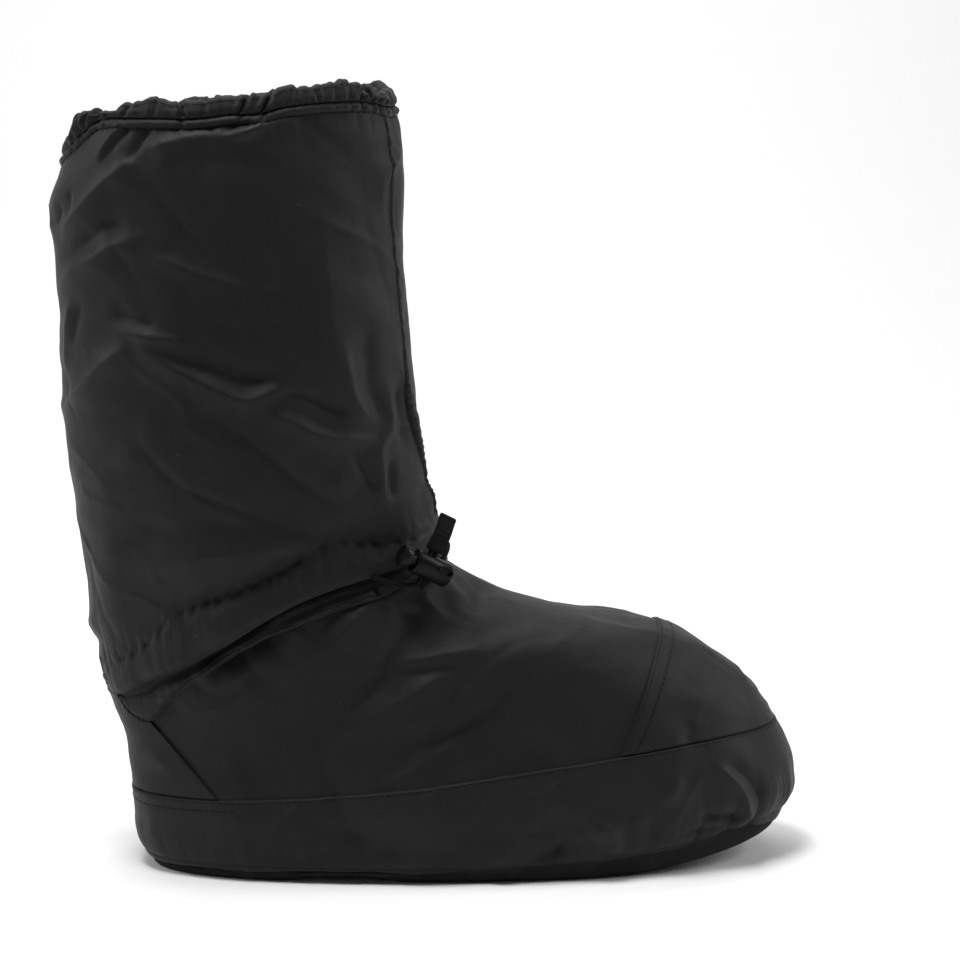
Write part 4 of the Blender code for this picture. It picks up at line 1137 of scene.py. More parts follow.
def make_panels():
    """Toe cap and heel counter, by the table above; returns their stitch rows."""
    sewn = []
    for name, paint, middle, plane, columns, rows, rows_at, node in PANELS:
        mesh, lines = panel(name, middle, plane, columns, rows, rows_at)
        show(mesh, nylon(paint, "panel", rows=rows_at), "boot", [node])
        sewn += [(theta, t, GAP + PANEL_THICKNESS + THREAD_PROUD) for theta, t in lines]
    return sewn


# Rand

# How far down the sole's side the rand's hem hangs: degrees round, share of the side
HEM_HANGS = (
    (-180, 0.28), (-150, 0.32), (-120, 0.34), (-100, 0.3), (-94, 0.18), (-90, 0.02), (-84, 0.02),
    (-79, 0.06), (-71, 0.12), (-63, 0.06), (-56, 0.02), (-50, 0.02), (-44, 0.02), (-38, 0.1),
    (-30, 0.3), (-21, 0.55), (-8, 0.66), (6, 0.66), (20, 0.4), (34, 0.2), (46, 0.06), (60, 0.18),
    (72, 0.02), (80, 0.16), (95, 0.26), (120, 0.34), (150, 0.32), (180, 0.28),
)
# Stitch rows of the rand: distance under its top edge in metres, and start and end in degrees
RAND_ROWS = ((EDGE_ROW, 0, 360), (0.0058, 132, 228))
# The t at which its pleats are spaced, and how many rows of points its hem has
RAND_T = 0.08
HEM_ROWS = 14


def make_rand():
    """The lower band: a sewn welt on top, puckers at the toe, and a hem that hangs over the
    sole's side. Below the lip the hem runs straight towards the sole's foot."""
    theta = turns(720)
    # Even rows from the lip up, then closer ones where the welt rolls over
    top = RAND_SEAM_T - 0.0007
    t = np.linspace(SOLE_LIP_T + 0.001, top, 72)
    t = np.concatenate([t[:-14], np.linspace(t[-15], top, 30)[1:]])[:, None]
    v = cloth_uv(form(theta, t), from_top=True)[..., 1]
    out = np.where(v < v[0] / 2, strip_height(v, 2 * v[0], RAND_THICKNESS), GAP + RAND_THICKNESS)
    proud = 0.0016 * (1 - fade(t, SOLE_LIP_T, 0.075))
    toe = np.clip(np.cos(theta) * 1.9 - 0.55, 0, 1)
    side = bell(degrees_round(theta), -76.0, 26.0)
    pleats = puckers(theta, RAND_T, 0.0165, 411)
    fine = puckers(theta, RAND_T, 0.0066, 431)
    lower = bell(t, 0.066, 0.046)
    out = out + proud + lower * (pleats * (0.0006 + 0.0018 * toe + 0.0009 * side)
                                 + fine * (0.0001 + 0.0003 * toe))
    points, raised = cloth(theta, t, out)

    # The hem, from the lip down; its own edge is tucked in behind
    lip = points[0]
    foot = standing(sole_edge(theta, -SOLE_LIP - 0.0009), 0.0010)[0]
    share = round_share(theta, RAND_T)[0]
    hang = np.clip(from_table(HEM_HANGS, theta)[0] + 0.10 * wander(share, 77, (3, 7, 11, 17))
                   + 0.10 * toe * pleats, 0.02, 1.0)[0]
    down = np.linspace(1, 0, HEM_ROWS + 1)[:-1, None]
    swell = 0.0011 * np.sin(np.pi * down) * hang
    level_out = outward(theta, SOLE_LIP_T) * np.array([1, 1, 0])
    hem = lip + (foot - lip) * (hang * down)[..., None] + level_out * swell[..., None]
    tuck = hem[:1] - level_out * 0.0022
    tuck[..., 2] += 0.0006
    worn = np.concatenate([np.zeros((HEM_ROWS + 1, theta.size)),
                           raised + 0.001 * pleats * lower * toe])
    lay_cloth("rand_cloth", np.concatenate([tuck, hem, points]), worn,
              nylon("nylon_rand", "panel", rows=(EDGE_ROW,)), ["rand"],
              from_top=True)
    sewn = []
    for place, start, end in RAND_ROWS:
        line = np.radians(np.linspace(start, end, 721))
        scale = np.linalg.norm(form(line, top) - form(line, top - 0.01), axis=-1) / 0.01
        sewn.append((line, top - place / scale, GAP + RAND_THICKNESS + THREAD_PROUD))
    return sewn


# Ankle channel, collar and front seam

# The channel's section: share of the way up it, and millimetres off the cloth
CHANNEL_PROFILE = (
    (-0.02, -0.4), (0.005, 0.8), (0.05, 1.5), (0.12, 1.9), (0.19, 1.8), (0.24, 1.2), (0.29, 0.6),
    (0.35, 0.6), (0.4, 1.2), (0.375, 2.6), (0.385, 4.4), (0.45, 5.6), (0.56, 5.7), (0.69, 4.7),
    (0.79, 3.3), (0.88, 1.9), (0.97, 0.9), (1.05, 0.4), (1.12, 0.1), (1.19, -0.5),
)
# Where its stitch row is, as a share, and the t at which its puckers are spaced
CHANNEL_ROW = 0.085
CHANNEL_T = 0.535
# Points round the boot on a stitch row
ROW_POINTS = 1081
# Where the channel rides off its even line: degrees round, then low edge, fold and top, in t
CHANNEL_RIDES = (
    (-180, 0.036, 0.006, 0.006), (-163, 0.036, 0, 0.004), (-156, -0.004, -0.003, 0),
    (-144, -0.052, -0.003, 0), (-129, -0.026, -0.006, 0.005), (-118, -0.012, -0.01, 0.022),
    (-108, -0.007, -0.012, 0.02), (-96, -0.002, -0.008, 0.014), (-80, 0, 0.002, 0.014),
    (-66, -0.002, 0.001, 0.03), (-53, -0.004, 0, 0.006), (-40, 0, 0, -0.008), (0, 0, 0, 0),
    (40, -0.003, -0.002, 0.004), (75, 0, -0.006, 0.01), (110, -0.006, -0.01, -0.002),
    (138, -0.034, -0.004, 0.01), (152, -0.01, 0, 0.004), (163, 0.03, 0.002, 0.004),
    (180, 0.036, 0.006, 0.006),
)


def channel_t(theta, share):
    """t of the channel: an even band whose low edge, fold and top each ride up and down."""
    low, fold, top = from_table(CHANNEL_RIDES, theta)
    ride = low + (fold - low) * fade(share, 0.10, 0.38) + (top - fold) * fade(share, 0.55, 0.95)
    return CHANNEL_LOW_T + share * (CHANNEL_HIGH_T - CHANNEL_LOW_T) + ride


def all_round():
    """The turns of a stitch row that goes all round the boot, in radians."""
    return np.radians(np.linspace(0, 360, ROW_POINTS))


def make_channel():
    """A profile carried round the ankle: hem, dip, and a fold that hangs over the dip.

    Its height is the profile times a fullness that drifts round the boot, and puckers, dimples
    and the hem's lift on top. It is calm at the front (336 degrees) and the rear (184).
    """
    theta = turns(600)
    profile = spline(CHANNEL_PROFILE, 90)
    share, out = profile[:, :1], profile[:, 1:] * 1e-3
    around = round_share(theta, CHANNEL_T)[0]
    turn = np.degrees(theta)
    fold = fade(share, 0.37, 0.45) * (1 - fade(share, 0.80, 0.96))
    hem = bell(share, 0.12, 0.11)
    top = bell(share, 0.90, 0.10)
    rear = bell(turn, 184.0, 34.0)
    loose = 1 - 0.80 * bell(turn, 336.0, 36.0)
    flatter = 1 - 0.78 * rear * fade(share, 0.30, 0.42)
    outer = bell(turn, 290.0, 34.0) + 0.8 * bell(turn, 40.0, 40.0)
    lifted = 0.0026 * bell(turn, 266.0, 13.0) * (1 - fade(share, 0.10, 0.30))
    prominent = 1.15 * outer * (1 - fade(share, 0.20, 0.31)) - 0.16 * outer * fold
    full = 1 + prominent + loose * (0.26 * wander(around, 61, (1, 2, 3, 5, 8, 12)) * fold
                                    + 0.30 * wander(around, 62, (2, 5, 9, 14)) * hem)
    pucker = puckers(theta, CHANNEL_T, 0.0098, 63)
    fine = puckers(theta, CHANNEL_T, 0.0054, 66)
    dimples = np.clip(2.8 * puckers(theta, CHANNEL_T, 0.0088, 69), 0, 1) * (1 - 0.75 * rear)
    lower = bell(share, 0.705, 0.050) * bell(turn, 294.0, 20.0)
    ripple = loose * (0.00050 * pucker * (fold + top) + 0.00022 * fine * fold
                      + 0.00040 * pucker * hem + 0.00060 * fine * top
                      - 0.00240 * dimples * (bell(share, 0.930, 0.065) + 0.8 * lower))
    spread = 0.07 * outer - 0.05 * bell(turn, 242.0, 18.0)
    t = channel_t(theta, share + spread * bell(share, 0.24, 0.09))
    height = out * full * flatter + ripple + lifted
    points, raised = cloth(theta, t, height)

    # Back down behind it, just inside the cloth, so that the channel is closed
    back_share = np.linspace(1.0, 0.0, 12)[1:-1, None]
    back, back_raised = cloth(theta, channel_t(theta, back_share), -0.0006)
    points = np.concatenate([points, back])
    worn = np.concatenate([raised + 0.001 * (pucker + fine) * (fold + top), back_raised])
    sewn = np.argmin(np.abs(share[:30, 0] - CHANNEL_ROW))
    row_v = float(length_along(points[:, 0])[sewn])
    lay_cloth("channel_cloth", points, worn, nylon("nylon_channel", "band", rows=(row_v,)),
              ["ankle_channel"], through=True)
    line = all_round()
    row_t, row_out = [np.interp(line, theta[0], row, period=2 * np.pi)
                      for row in (t[sewn], height[sewn])]
    return [(line, row_t, row_out + 0.0001)]


# The stuffed band's section: share of the way up it, and millimetres off the cloth
BAND_PROFILE = ((-0.06, -0.5), (0.02, 0.3), (0.14, 1.2), (0.34, 1.9), (0.55, 2.0),
                (0.78, 1.5), (0.95, 0.5), (1.05, -0.5))
# The t at which puckers are spaced on the band, pleats on the casing, and its deep pleats
BAND_T = 0.987
CASING_T = 0.995
PINCH_T = 0.99
# The casing: where it starts, turns over the rim and ends inside, in t, and the turn's radius
CASING_LOW_T = 0.9905
CASING_TURN_T = 0.9975
CASING_END_T = 0.9885
CASING_RADIUS = 0.0029
# Deep pleats of the collar: degrees round, depth and half width in millimetres, slant in
# degrees from its foot to the rim
PINCHES = (
    (-152, 1.9, 1.1, 3), (-147, 2.2, 1, -2), (-143, 2, 1, 2), (-137, 2, 1.1, -2),
    (-124, 0.8, 1, 2), (-112.5, 0.7, 1, 1), (-103, 2.4, 1, -2), (-95.5, 0.9, 1, 0),
    (-84, 2.1, 1, 3), (-76.5, 2.1, 1, 4), (-66, 0.8, 1.1, 2), (-58, 0.7, 1, -2), (-50, 0.9, 1, 2),
    (-43, 1.2, 1, 2), (-37, 1.7, 1, 3), (-33.5, 1.9, 0.9, -2), (-30, 1.8, 0.9, 3),
    (-26, 1.9, 1, 2), (-21, 1.5, 1, -2), (-13, 1.2, 1.1, 2), (-2, 1.6, 1.1, 2), (11, 1, 1, -3),
    (24, 1.9, 1.1, 2), (38, 1.2, 1, 2), (51, 2.1, 1, -3), (59, 0.9, 1, 1), (73, 1.8, 1, 3),
    (86, 1, 1.1, -2), (97, 2.2, 1, 2), (109, 0.8, 1, 3), (121, 1.9, 1, -2), (134, 1.4, 1.1, 2),
    (146, 2, 1, 2), (159, 1.1, 1, -3), (171, 2, 1.1, 2), (182, 1.3, 1, 2), (194, 1.8, 1.1, -2),
)


def pinch_depth(theta, rise):
    """The deep pleats: narrow valleys between two low swells, leaning as they rise."""
    share, length_around = round_share(theta, PINCH_T)
    total = np.zeros(np.broadcast(theta, rise).shape)
    for degrees, deep, half, slant in PINCHES:
        place, _ = round_share(np.radians(degrees), PINCH_T)
        lean = np.radians(slant) * 0.075 * (rise - 0.4)
        gap = np.mod(share - place + 0.5, 1.0) - 0.5
        gap = (gap * length_around - lean) * 1000
        valley = np.exp(-np.abs(gap / half) ** 1.6)
        total += deep * 1e-3 * (0.38 * bell(np.abs(gap), 2.6 * half, 1.5 * half) - valley)
    return total


def make_band():
    """The stuffed band between two stitch rows: a profile carried round, fuller here and there,
    and pinched by the pleats above it."""
    theta = turns(640)
    profile = spline(BAND_PROFILE, 30)
    share, out = profile[:, :1], profile[:, 1:] * 1e-3
    t = BAND_FROM_T + share * (BAND_TO_T - BAND_FROM_T)
    around = round_share(theta, BAND_T)[0]
    pucker = puckers(theta, BAND_T, 0.0050, 71)
    full = 1 + 0.16 * wander(around, 72, (3, 7, 12)) + 0.25 * pucker * bell(share, 0.5, 0.45)
    pinch = pinch_depth(theta, share * 0.3) * 0.55 * bell(share, 0.6, 0.6)
    points, raised = cloth(theta, t, out * full + pinch)
    back, _ = cloth(theta, t[[22, 15, 8]], -0.0008)
    worn = np.concatenate([raised + pucker * 0.001, np.zeros_like(back[..., 0])])
    lay_cloth("band_cloth", np.concatenate([points, back]), worn,
              nylon("nylon_stuffed_band", "band"), ["collar_band"], through=True)


def make_casing():
    """The gathered casing: up the outside, over the rim in a half circle, down the inside.

    Pleats sink it along the form's normal on both sides, and shrink the half circle's radius.
    Heave moves the rim up and down, bunch moves it out.
    """
    settings = bpy.context.scene.overboot_cloth
    theta = turns(640)
    turn = np.degrees(theta)
    up = np.linspace(0, 1, 46)
    arch = np.radians(np.linspace(0, 180, 34))[1:-1]
    inside = np.linspace(0, 1, 16)
    k, m = len(up), len(up) + len(arch)
    bottom = np.clip(up / 0.10, 0, 1)
    outside = 0.0016 * np.sqrt(np.clip(1 - (1 - bottom) ** 2, 0, 1)) + 0.0007 * bell(up, 0.5, 0.4)
    around = round_share(theta, CASING_T)[0]
    heave = (0.0010 * wander(around, 81, (9, 13, 19, 27)) + 0.0007 * wander(around, 82, (3, 5, 6))
             + 0.0018 * bell(turn, 207.0, 7.0) - 0.0058 * bell(turn, 226.5, 4.5))
    bunch = 0.0032 * bell(turn, 213.0, 9.0) + 0.0010 * bell(turn, 331.0, 9.0)
    pleats = puckers(theta, CASING_T, settings.pleat_pitch, 83)
    fine = puckers(theta, CASING_T, settings.pleat_pitch * 0.52, 87)
    rise = np.concatenate([0.7 * up, 0.7 + 0.3 * np.sin(arch), 0.7 - 0.5 * inside])[:, None]
    weight = np.concatenate([fade(up, 0.0, 0.25), np.ones(len(arch)), 0.8 - 0.6 * inside])[:, None]
    sink = weight * (settings.pleat_depth * (pleats + 0.45 * fine)
                     + pinch_depth(theta, rise) * (0.75 + 0.25 * weight))

    wall = at(theta, (CASING_LOW_T + up * (CASING_TURN_T - CASING_LOW_T))[:, None],
              outside[:, None] + sink[:k] + bunch * fade(up, 0, 0.4)[:, None])
    wall[..., 2] += heave * fade(up, 0.35, 1.0)[:, None]
    flat = unit(outward(theta, CASING_TURN_T) * np.array([1.0, 1.0, 0.0]))
    centre = at(theta, CASING_TURN_T, 0.0)
    centre = centre + flat * (outside[-1] + bunch[..., None] - CASING_RADIUS)
    centre[..., 2] += heave
    cosine, sine = np.cos(arch)[:, None, None], np.sin(arch)[:, None, None]
    top = np.array([0.0, 0.0, 1.0])
    over = (centre + (CASING_RADIUS + sink[k:m])[..., None] * (flat * cosine + top * sine * 0.95)
            + top * (heave[..., None] * sine * 0.25))
    down = CASING_TURN_T - inside * (CASING_TURN_T - CASING_END_T)
    inner = at(theta, down[:, None], outside[-1] + bunch - 2 * CASING_RADIUS - sink[m:])
    inner[..., 2] += heave * (1 - fade(inside, 0.0, 0.8))[:, None]
    lay_cloth("collar_cloth", np.concatenate([wall, over, inner]), sink * 1.5,
              nylon("nylon_collar", "band", roughness=0.6), ["collar_casing"])


def make_collar():
    """Band and casing; returns the stitch rows below and above the band."""
    make_band()
    make_casing()
    return [(all_round(), np.full(ROW_POINTS, t), np.full(ROW_POINTS, out))
            for t, out in ((BAND_FROM_T - 0.0004, 0.0004), (BAND_TO_T + 0.0001, 0.0012))]


# The front seam: t, and degrees round
FRONT_SEAM = ((0.571, -8.0), (0.640, -10.0), (0.700, -13.5), (0.760, -17.0), (0.820, -15.5),
              (0.875, -15.0), (0.925, -19.0), (0.986, -21.5))
# What turns a distance across the front of the shaft into radians
FRONT_RADIUS = SHAFT_WIDTH * 0.52


def front_line(t):
    """Degrees round of the shaft's front seam at t: it drifts to the outer side as it rises."""
    places, degrees = np.array(FRONT_SEAM).T
    return bend(t, places, degrees[:, None])[..., 0]


def make_front_seam():
    """A narrow felled strip down the front, wider and blown out like a lens half way down."""
    t = np.linspace(0.571, 0.9862, 230)[:, None]
    across = np.linspace(-1, 1, 15)[None, :]
    lens = bell(t, 0.735, 0.045)
    half = 0.0019 + 0.0021 * lens
    theta = np.radians(front_line(t)) + across * half / FRONT_RADIUS
    crown = np.sqrt(np.clip(1 - np.abs(across) ** 3.5, 0, 1))
    ripple = 0.00022 * np.sin(t * 470 + 2 * np.sin(t * 90))
    out = crown * (0.0012 + 0.0022 * lens + ripple) - 0.0003 * bell(across, -0.55, 0.16) - 0.0004
    points, raised = cloth(theta, t, out)
    lay_cloth("front_seam_cloth", points, raised, nylon("nylon_seam", "band"),
              ["front_seam"], around=False)
    angle = np.radians(front_line(t)) - 0.55 * half / FRONT_RADIUS
    return [(angle[:, 0], t[:, 0], 0.0006 + 0.0022 * lens[:, 0])]


# Sole and insole

def under(x):
    """Height of the sole's underside: flat, with an arch, and sprung up at the toe."""
    share = x / FOOT_LENGTH
    run = np.clip((share - SPRING_FROM_SHARE) / (SPRING_TO_SHARE - SPRING_FROM_SHARE), 0, None)
    arch = np.exp(-((share - ARCH_AT_SHARE) / ARCH_REACH_SHARE) ** 4)
    return TOE_SPRING * run**2 + ARCH_LIFT * arch


def sole_edge(theta, inset):
    """The sole's edge in plan, at the feather of the upper, moved in by the inset."""
    edge = form(theta, FEATHER_T)[..., :2]
    along = form(theta + 1e-3, FEATHER_T)[..., :2] - form(theta - 1e-3, FEATHER_T)[..., :2]
    side = unit(np.stack([along[..., 1], -along[..., 0]], -1))
    return edge - np.asarray(inset)[..., None] * side


def standing(plan, height):
    """Points over a line in plan, at a height above the sole's underside."""
    return np.concatenate([plan, (under(plan[..., 0]) + height)[..., None]], -1)


# The rubber's profile: inset and height near the floor, then t and metres out over the rim and
# down inside it
SOLE_LOW = ((0.0075, 0.0010), (0.0064, 0.0002), (0.0052, 0.0), (0.0030, 0.0), (0.0008, 0.0001),
            (-0.0002, 0.0004), (-0.0010, 0.0010), (-0.0015, 0.0020), (-0.0018, 0.0040))
SOLE_RIM = ((0.0300, 0.0020), (0.0370, 0.0018), (0.0400, 0.0015), (0.0414, 0.0009),
            (0.0418, 0.0002), (0.0400, -0.0006))
SOLE_INSIDE = ((0.0330, -0.0012), (0.0250, -0.0018), (0.0160, -0.0022), (0.0080, -0.0023))
# The tread plate: how far in from the sole's edge it meets the rim and how deep its own edge
# sinks into it there, the slope of a groove's sides, and the least width that is grooved
TREAD_INSET = 0.0060
TREAD_SINKS = 0.0003
GROOVE_SLOPE = 0.0003
GROOVED_FROM = 0.004


def sole_sides(theta):
    """Profile of the rubber: out along the floor, round the rim, up the lip, then down inside
    it to the edge of the top under the foot."""
    loops = [standing(sole_edge(theta, inset), height) for inset, height in SOLE_LOW]
    wave = 0.00010 * bumps(round_share(theta, 0.03)[0], 36, 501)
    lift = wave[..., None] * np.array([0, 0, 1.0])
    loops += [at(theta, t, GAP + out) + lift for t, out in SOLE_RIM]
    loops += [at(theta, t, out) for t, out in SOLE_INSIDE]
    return np.concatenate(loops)


def tread_plate():
    """The underside as a grid in x and share across it, with square grooves cut into it."""
    heel = sole_edge(np.array([np.pi]), 0.0)[0, 0] + HEEL_TREAD_SPACE
    ball = BALL_TREAD_FROM_SHARE * FOOT_LENGTH
    grooves = [heel + k * GROOVE_PITCH for k in range(HEEL_GROOVES)]
    grooves += [ball + k * GROOVE_PITCH for k in range(BALL_GROOVES)]
    half = GROOVE_WIDTH / 2
    theta = np.linspace(0, np.pi, 721)

    def across(x, side, inset, **beyond):
        """y of the sole's edge at x, on one side, in by the inset."""
        edge = sole_edge(side * theta, inset)[::-1]
        return np.interp(x, edge[:, 0], edge[:, 1], **beyond)

    left, right = sole_edge(theta, TREAD_INSET), sole_edge(-theta, TREAD_INSET)
    low_x, high_x = max(left[-1, 0], right[-1, 0]), min(left[0, 0], right[0, 0])
    x = np.linspace(low_x + 1e-5, high_x - 1e-5, 150)
    both = np.array([-1, 1])
    for place in grooves:
        x = np.concatenate([x[np.abs(x - place) > half + 0.0008], place + both * half,
                            place + both * (half - GROOVE_SLOPE)])
    x = np.sort(x)
    y_left, y_right = across(x, 1, TREAD_INSET), across(x, -1, TREAD_INSET)
    rim_left = np.minimum(across(x, 1, GROOVE_RIM, left=0, right=0), y_left)[:, None]
    rim_right = np.maximum(across(x, -1, GROOVE_RIM, left=0, right=0), y_right)[:, None]
    bar = np.linspace(0, 1, 16)
    y = np.concatenate([y_left[:, None], rim_left + 0.0002,
                        rim_left + (rim_right - rim_left) * bar,
                        rim_right - 0.0002, y_right[:, None]], axis=1)
    cut = np.any([np.abs(x - place) < half - 0.0001 for place in grooves], axis=0)
    deep = np.zeros(y.shape[1])
    deep[2:-2] = GROOVE_DEPTH
    deep = deep * (rim_left - rim_right > GROOVED_FROM) * cut[:, None]
    rim = np.zeros_like(y)
    rim[:, [0, -1]] = TREAD_SINKS
    rim[[0, -1], :] = TREAD_SINKS
    x = np.broadcast_to(x[:, None], y.shape)
    return np.stack([x, y, under(x) + deep + rim], -1)[:, ::-1]


def disc(edge, rows=22):
    """Fills a ring: each point goes in to the middle line between it and its opposite one."""
    opposite = np.roll(edge[..., ::-1, :], 1, axis=-2)
    middle = (edge + opposite) / 2
    return edge + (middle - edge) * np.linspace(0, 1, rows)[:, None, None]


def make_sole():
    """The rubber: its sides and top as one sheet, and the tread plate under it."""
    theta = turns(420)
    top = disc(at(theta, 0.003, -(WALL - GAP / 2))[0])
    shell = sheet_mesh("sole_rim", np.concatenate([sole_sides(theta), top]), around=True)
    tread = sheet_mesh("sole_tread", tread_plate(), smooth=False)
    whole = join_meshes("sole_rubber", [merged(shell), merged(tread, 2e-5)])
    paint = paint_once("sole_rubber", rubber_paint, "rubber")
    return show(whole, paint, "boot", ["outsole"])


# The insole's edge: t, and metres in. Where it is pressed: depth, place, length and width
INSOLE_EDGE = ((0.003, 0.0), (0.026, 0.0), (0.044, 0.0003), (0.049, 0.0011), (0.0505, 0.0022))
INSOLE_PRESSED = ((0.0010, -0.118, 0.034, 0.026), (0.0008, 0.045, 0.040, 0.034))


def make_insole():
    """Felt pad: flat below, its edge rounded, its top pressed a little under heel and ball."""
    theta = turns(240)
    out = -(WALL + GAP)
    rows = [at(theta, t, out - inward)[0] for t, inward in INSOLE_EDGE]
    top = disc(rows[-1])
    for deep, x, long, wide in INSOLE_PRESSED:
        top[..., 2] -= deep * bell(top[..., 0], x, long) * bell(top[..., 1], 0, wide)
    grid = np.concatenate([disc(rows[0], 5)[:0:-1], np.stack(rows), top[1:]])
    mesh = merged(sheet_mesh("insole_felt", grid, around=True))
    return show(mesh, paint_once("pressed_felt", felt_paint, "felt"), "boot",
                ["insole"])


# Cord lock, drawcord and pull tab

LOCK_ALONG = np.array([0.763742, 0.458902, -0.453990])
LOCK_OUT = np.array([0.515038, -0.857167, 0.0])
LOCK_UP = np.cross(LOCK_OUT, LOCK_ALONG)
LOCK_CENTRE = np.array([-0.021493, -0.039497, 0.157537])
LOCK_START = LOCK_CENTRE - LOCK_ALONG * 0.0070
SLOT_MIDDLE = 0.0092
LOCK_HEIGHT = 0.0124
# Plastic edges: how wide they are rounded, and from what angle on
ROUNDING = 0.00025
SHARP_FROM = np.radians(38)
# How many times each point of a strand is drawn half way to its neighbours' mean, its points in
# all and round it, and every how many of them its path is given
CORD_EASING = 8
CORD_POINTS = 126
CORD_SIDES = 18
PATH_STEP = 5
# Each strand: its length, then the places on its way from the channel to the tab
STRANDS = {
    "cord_outer": (0.04705, (
        (-0.0469, -0.0398, 0.1517), (-0.0455, -0.0433, 0.1517), (-0.0427, -0.0444, 0.1512),
        (-0.0392, -0.0445, 0.1502), (-0.0352, -0.0440, 0.1490), (-0.0312, -0.0432, 0.1481),
        (-0.0276, -0.0422, 0.1479), (-0.0247, -0.0414, 0.1486), (-0.0233, -0.0406, 0.1517),
        (-0.0219, -0.0398, 0.1549), (-0.0205, -0.0389, 0.1581), (-0.0191, -0.0381, 0.1613),
        (-0.0178, -0.0373, 0.1644), (-0.0164, -0.0364, 0.1676))),
    "cord_inner": (0.07347, (
        (-0.0139, 0.0027, 0.1608), (-0.0094, 0.0024, 0.1613), (-0.0089, -0.0013, 0.1599),
        (-0.0099, -0.0065, 0.1577), (-0.0119, -0.0126, 0.1549), (-0.0146, -0.0192, 0.1520),
        (-0.0174, -0.0257, 0.1494), (-0.0200, -0.0316, 0.1474), (-0.0218, -0.0365, 0.1465),
        (-0.0225, -0.0397, 0.1470), (-0.0207, -0.0390, 0.1514), (-0.0185, -0.0377, 0.1563),
        (-0.0163, -0.0364, 0.1613), (-0.0142, -0.0351, 0.1663))),
}


def in_lock(along, up, out):
    """Points given in the lock's own directions, from the button end of its body."""
    along, up, out = np.broadcast_arrays(along, up, out)
    return (LOCK_START + along[..., None] * LOCK_ALONG + up[..., None] * LOCK_UP
            + out[..., None] * LOCK_OUT)


def copy_of(node, name):
    """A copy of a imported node: merged, its flat faces made whole, creased by angle."""
    mesh = bpy.data.objects[node].data.copy()
    mesh.name = name
    mesh.materials.clear()
    worked(mesh, merging(1e-5), (bmesh.ops.dissolve_limit, ["verts", "edges"],
                                 {"angle_limit": np.radians(1.0)}))
    mesh.polygons.foreach_set("use_smooth", np.ones(len(mesh.polygons), bool))
    mesh.set_sharp_from_angle(angle=SHARP_FROM)
    return mesh


def rounded(piece):
    """Rounds a moulded piece's sharp edges; returns the piece."""
    modifier = piece.modifiers.new("rounded", "BEVEL")
    modifier.width = ROUNDING
    modifier.segments = 2
    modifier.limit_method = "ANGLE"
    modifier.angle_limit = SHARP_FROM
    modifier.harden_normals = True
    return piece


def make_lock():
    """Body and button of the cord lock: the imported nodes' own shapes with rounded edges."""
    paint = paint_once("moulded_plastic", plastic_paint, "plastic")
    return [rounded(show(copy_of(node, name), paint, body, [node]))
            for node, name, body, slot in (
                ("lock_body", "lock_shell", "boot", "lock_plastic"),
                ("lock_button", "button_shell", "button", "button_plastic"))]


def tube_grid(points, radius, around):
    """A round section carried along a line; its frame is turned as little as possible."""
    along = unit(np.gradient(points, axis=0))
    side = np.empty_like(points)
    side[0] = np.cross(along[0], (0.3, 0.2, 1.0))
    for k in range(1, len(points)):
        side[k] = side[k - 1] - along[k] * (side[k - 1] @ along[k])
    side = unit(side)
    up = np.cross(along, side)
    turn = np.linspace(0, 2 * np.pi, around, endpoint=False)[None, :, None]
    return points[:, None] + radius[:, None, None] * (side[:, None] * np.cos(turn)
                                                      + up[:, None] * np.sin(turn))


def make_cords():
    """Two braided strands from the channel, up through the lock and into the pull tab.

    Returns each strand with its whole length and its path.
    """
    paint = paint_once("cord_braid", braid_paint, "cord", 0.00085)
    made = []
    for node, (whole, route) in STRANDS.items():
        line = spline(route, CORD_POINTS)
        for _ in range(CORD_EASING):
            line[1:-1] = (line[:-2] + 2 * line[1:-1] + line[2:]) / 4
        radius = np.full(len(line), CORD_RADIUS)
        radius[[0, -1]] = CORD_RADIUS * 0.35
        radius[[1, -2]] = CORD_RADIUS * 0.85
        grid = tube_grid(line, radius, CORD_SIDES)
        mesh = sheet_mesh(node.replace("cord", "strand"), grid, around=True,
                          uv=cloth_uv(grid, around=True))
        piece = show(worked(mesh, capping(CORD_SIDES)), paint, "boot", [node])
        made.append((piece, whole, line[::PATH_STEP]))
    return made


# The pull tab: from where in the lock's own directions, its size, and its points round
TAB_START = LOCK_HEIGHT / 2 + 0.0020
TAB_LONG = 0.0190
TAB_WIDE = 0.0100
TAB_THICK = 0.0042
TAB_SIDES = 48
TAPE_RIB = 0.00105


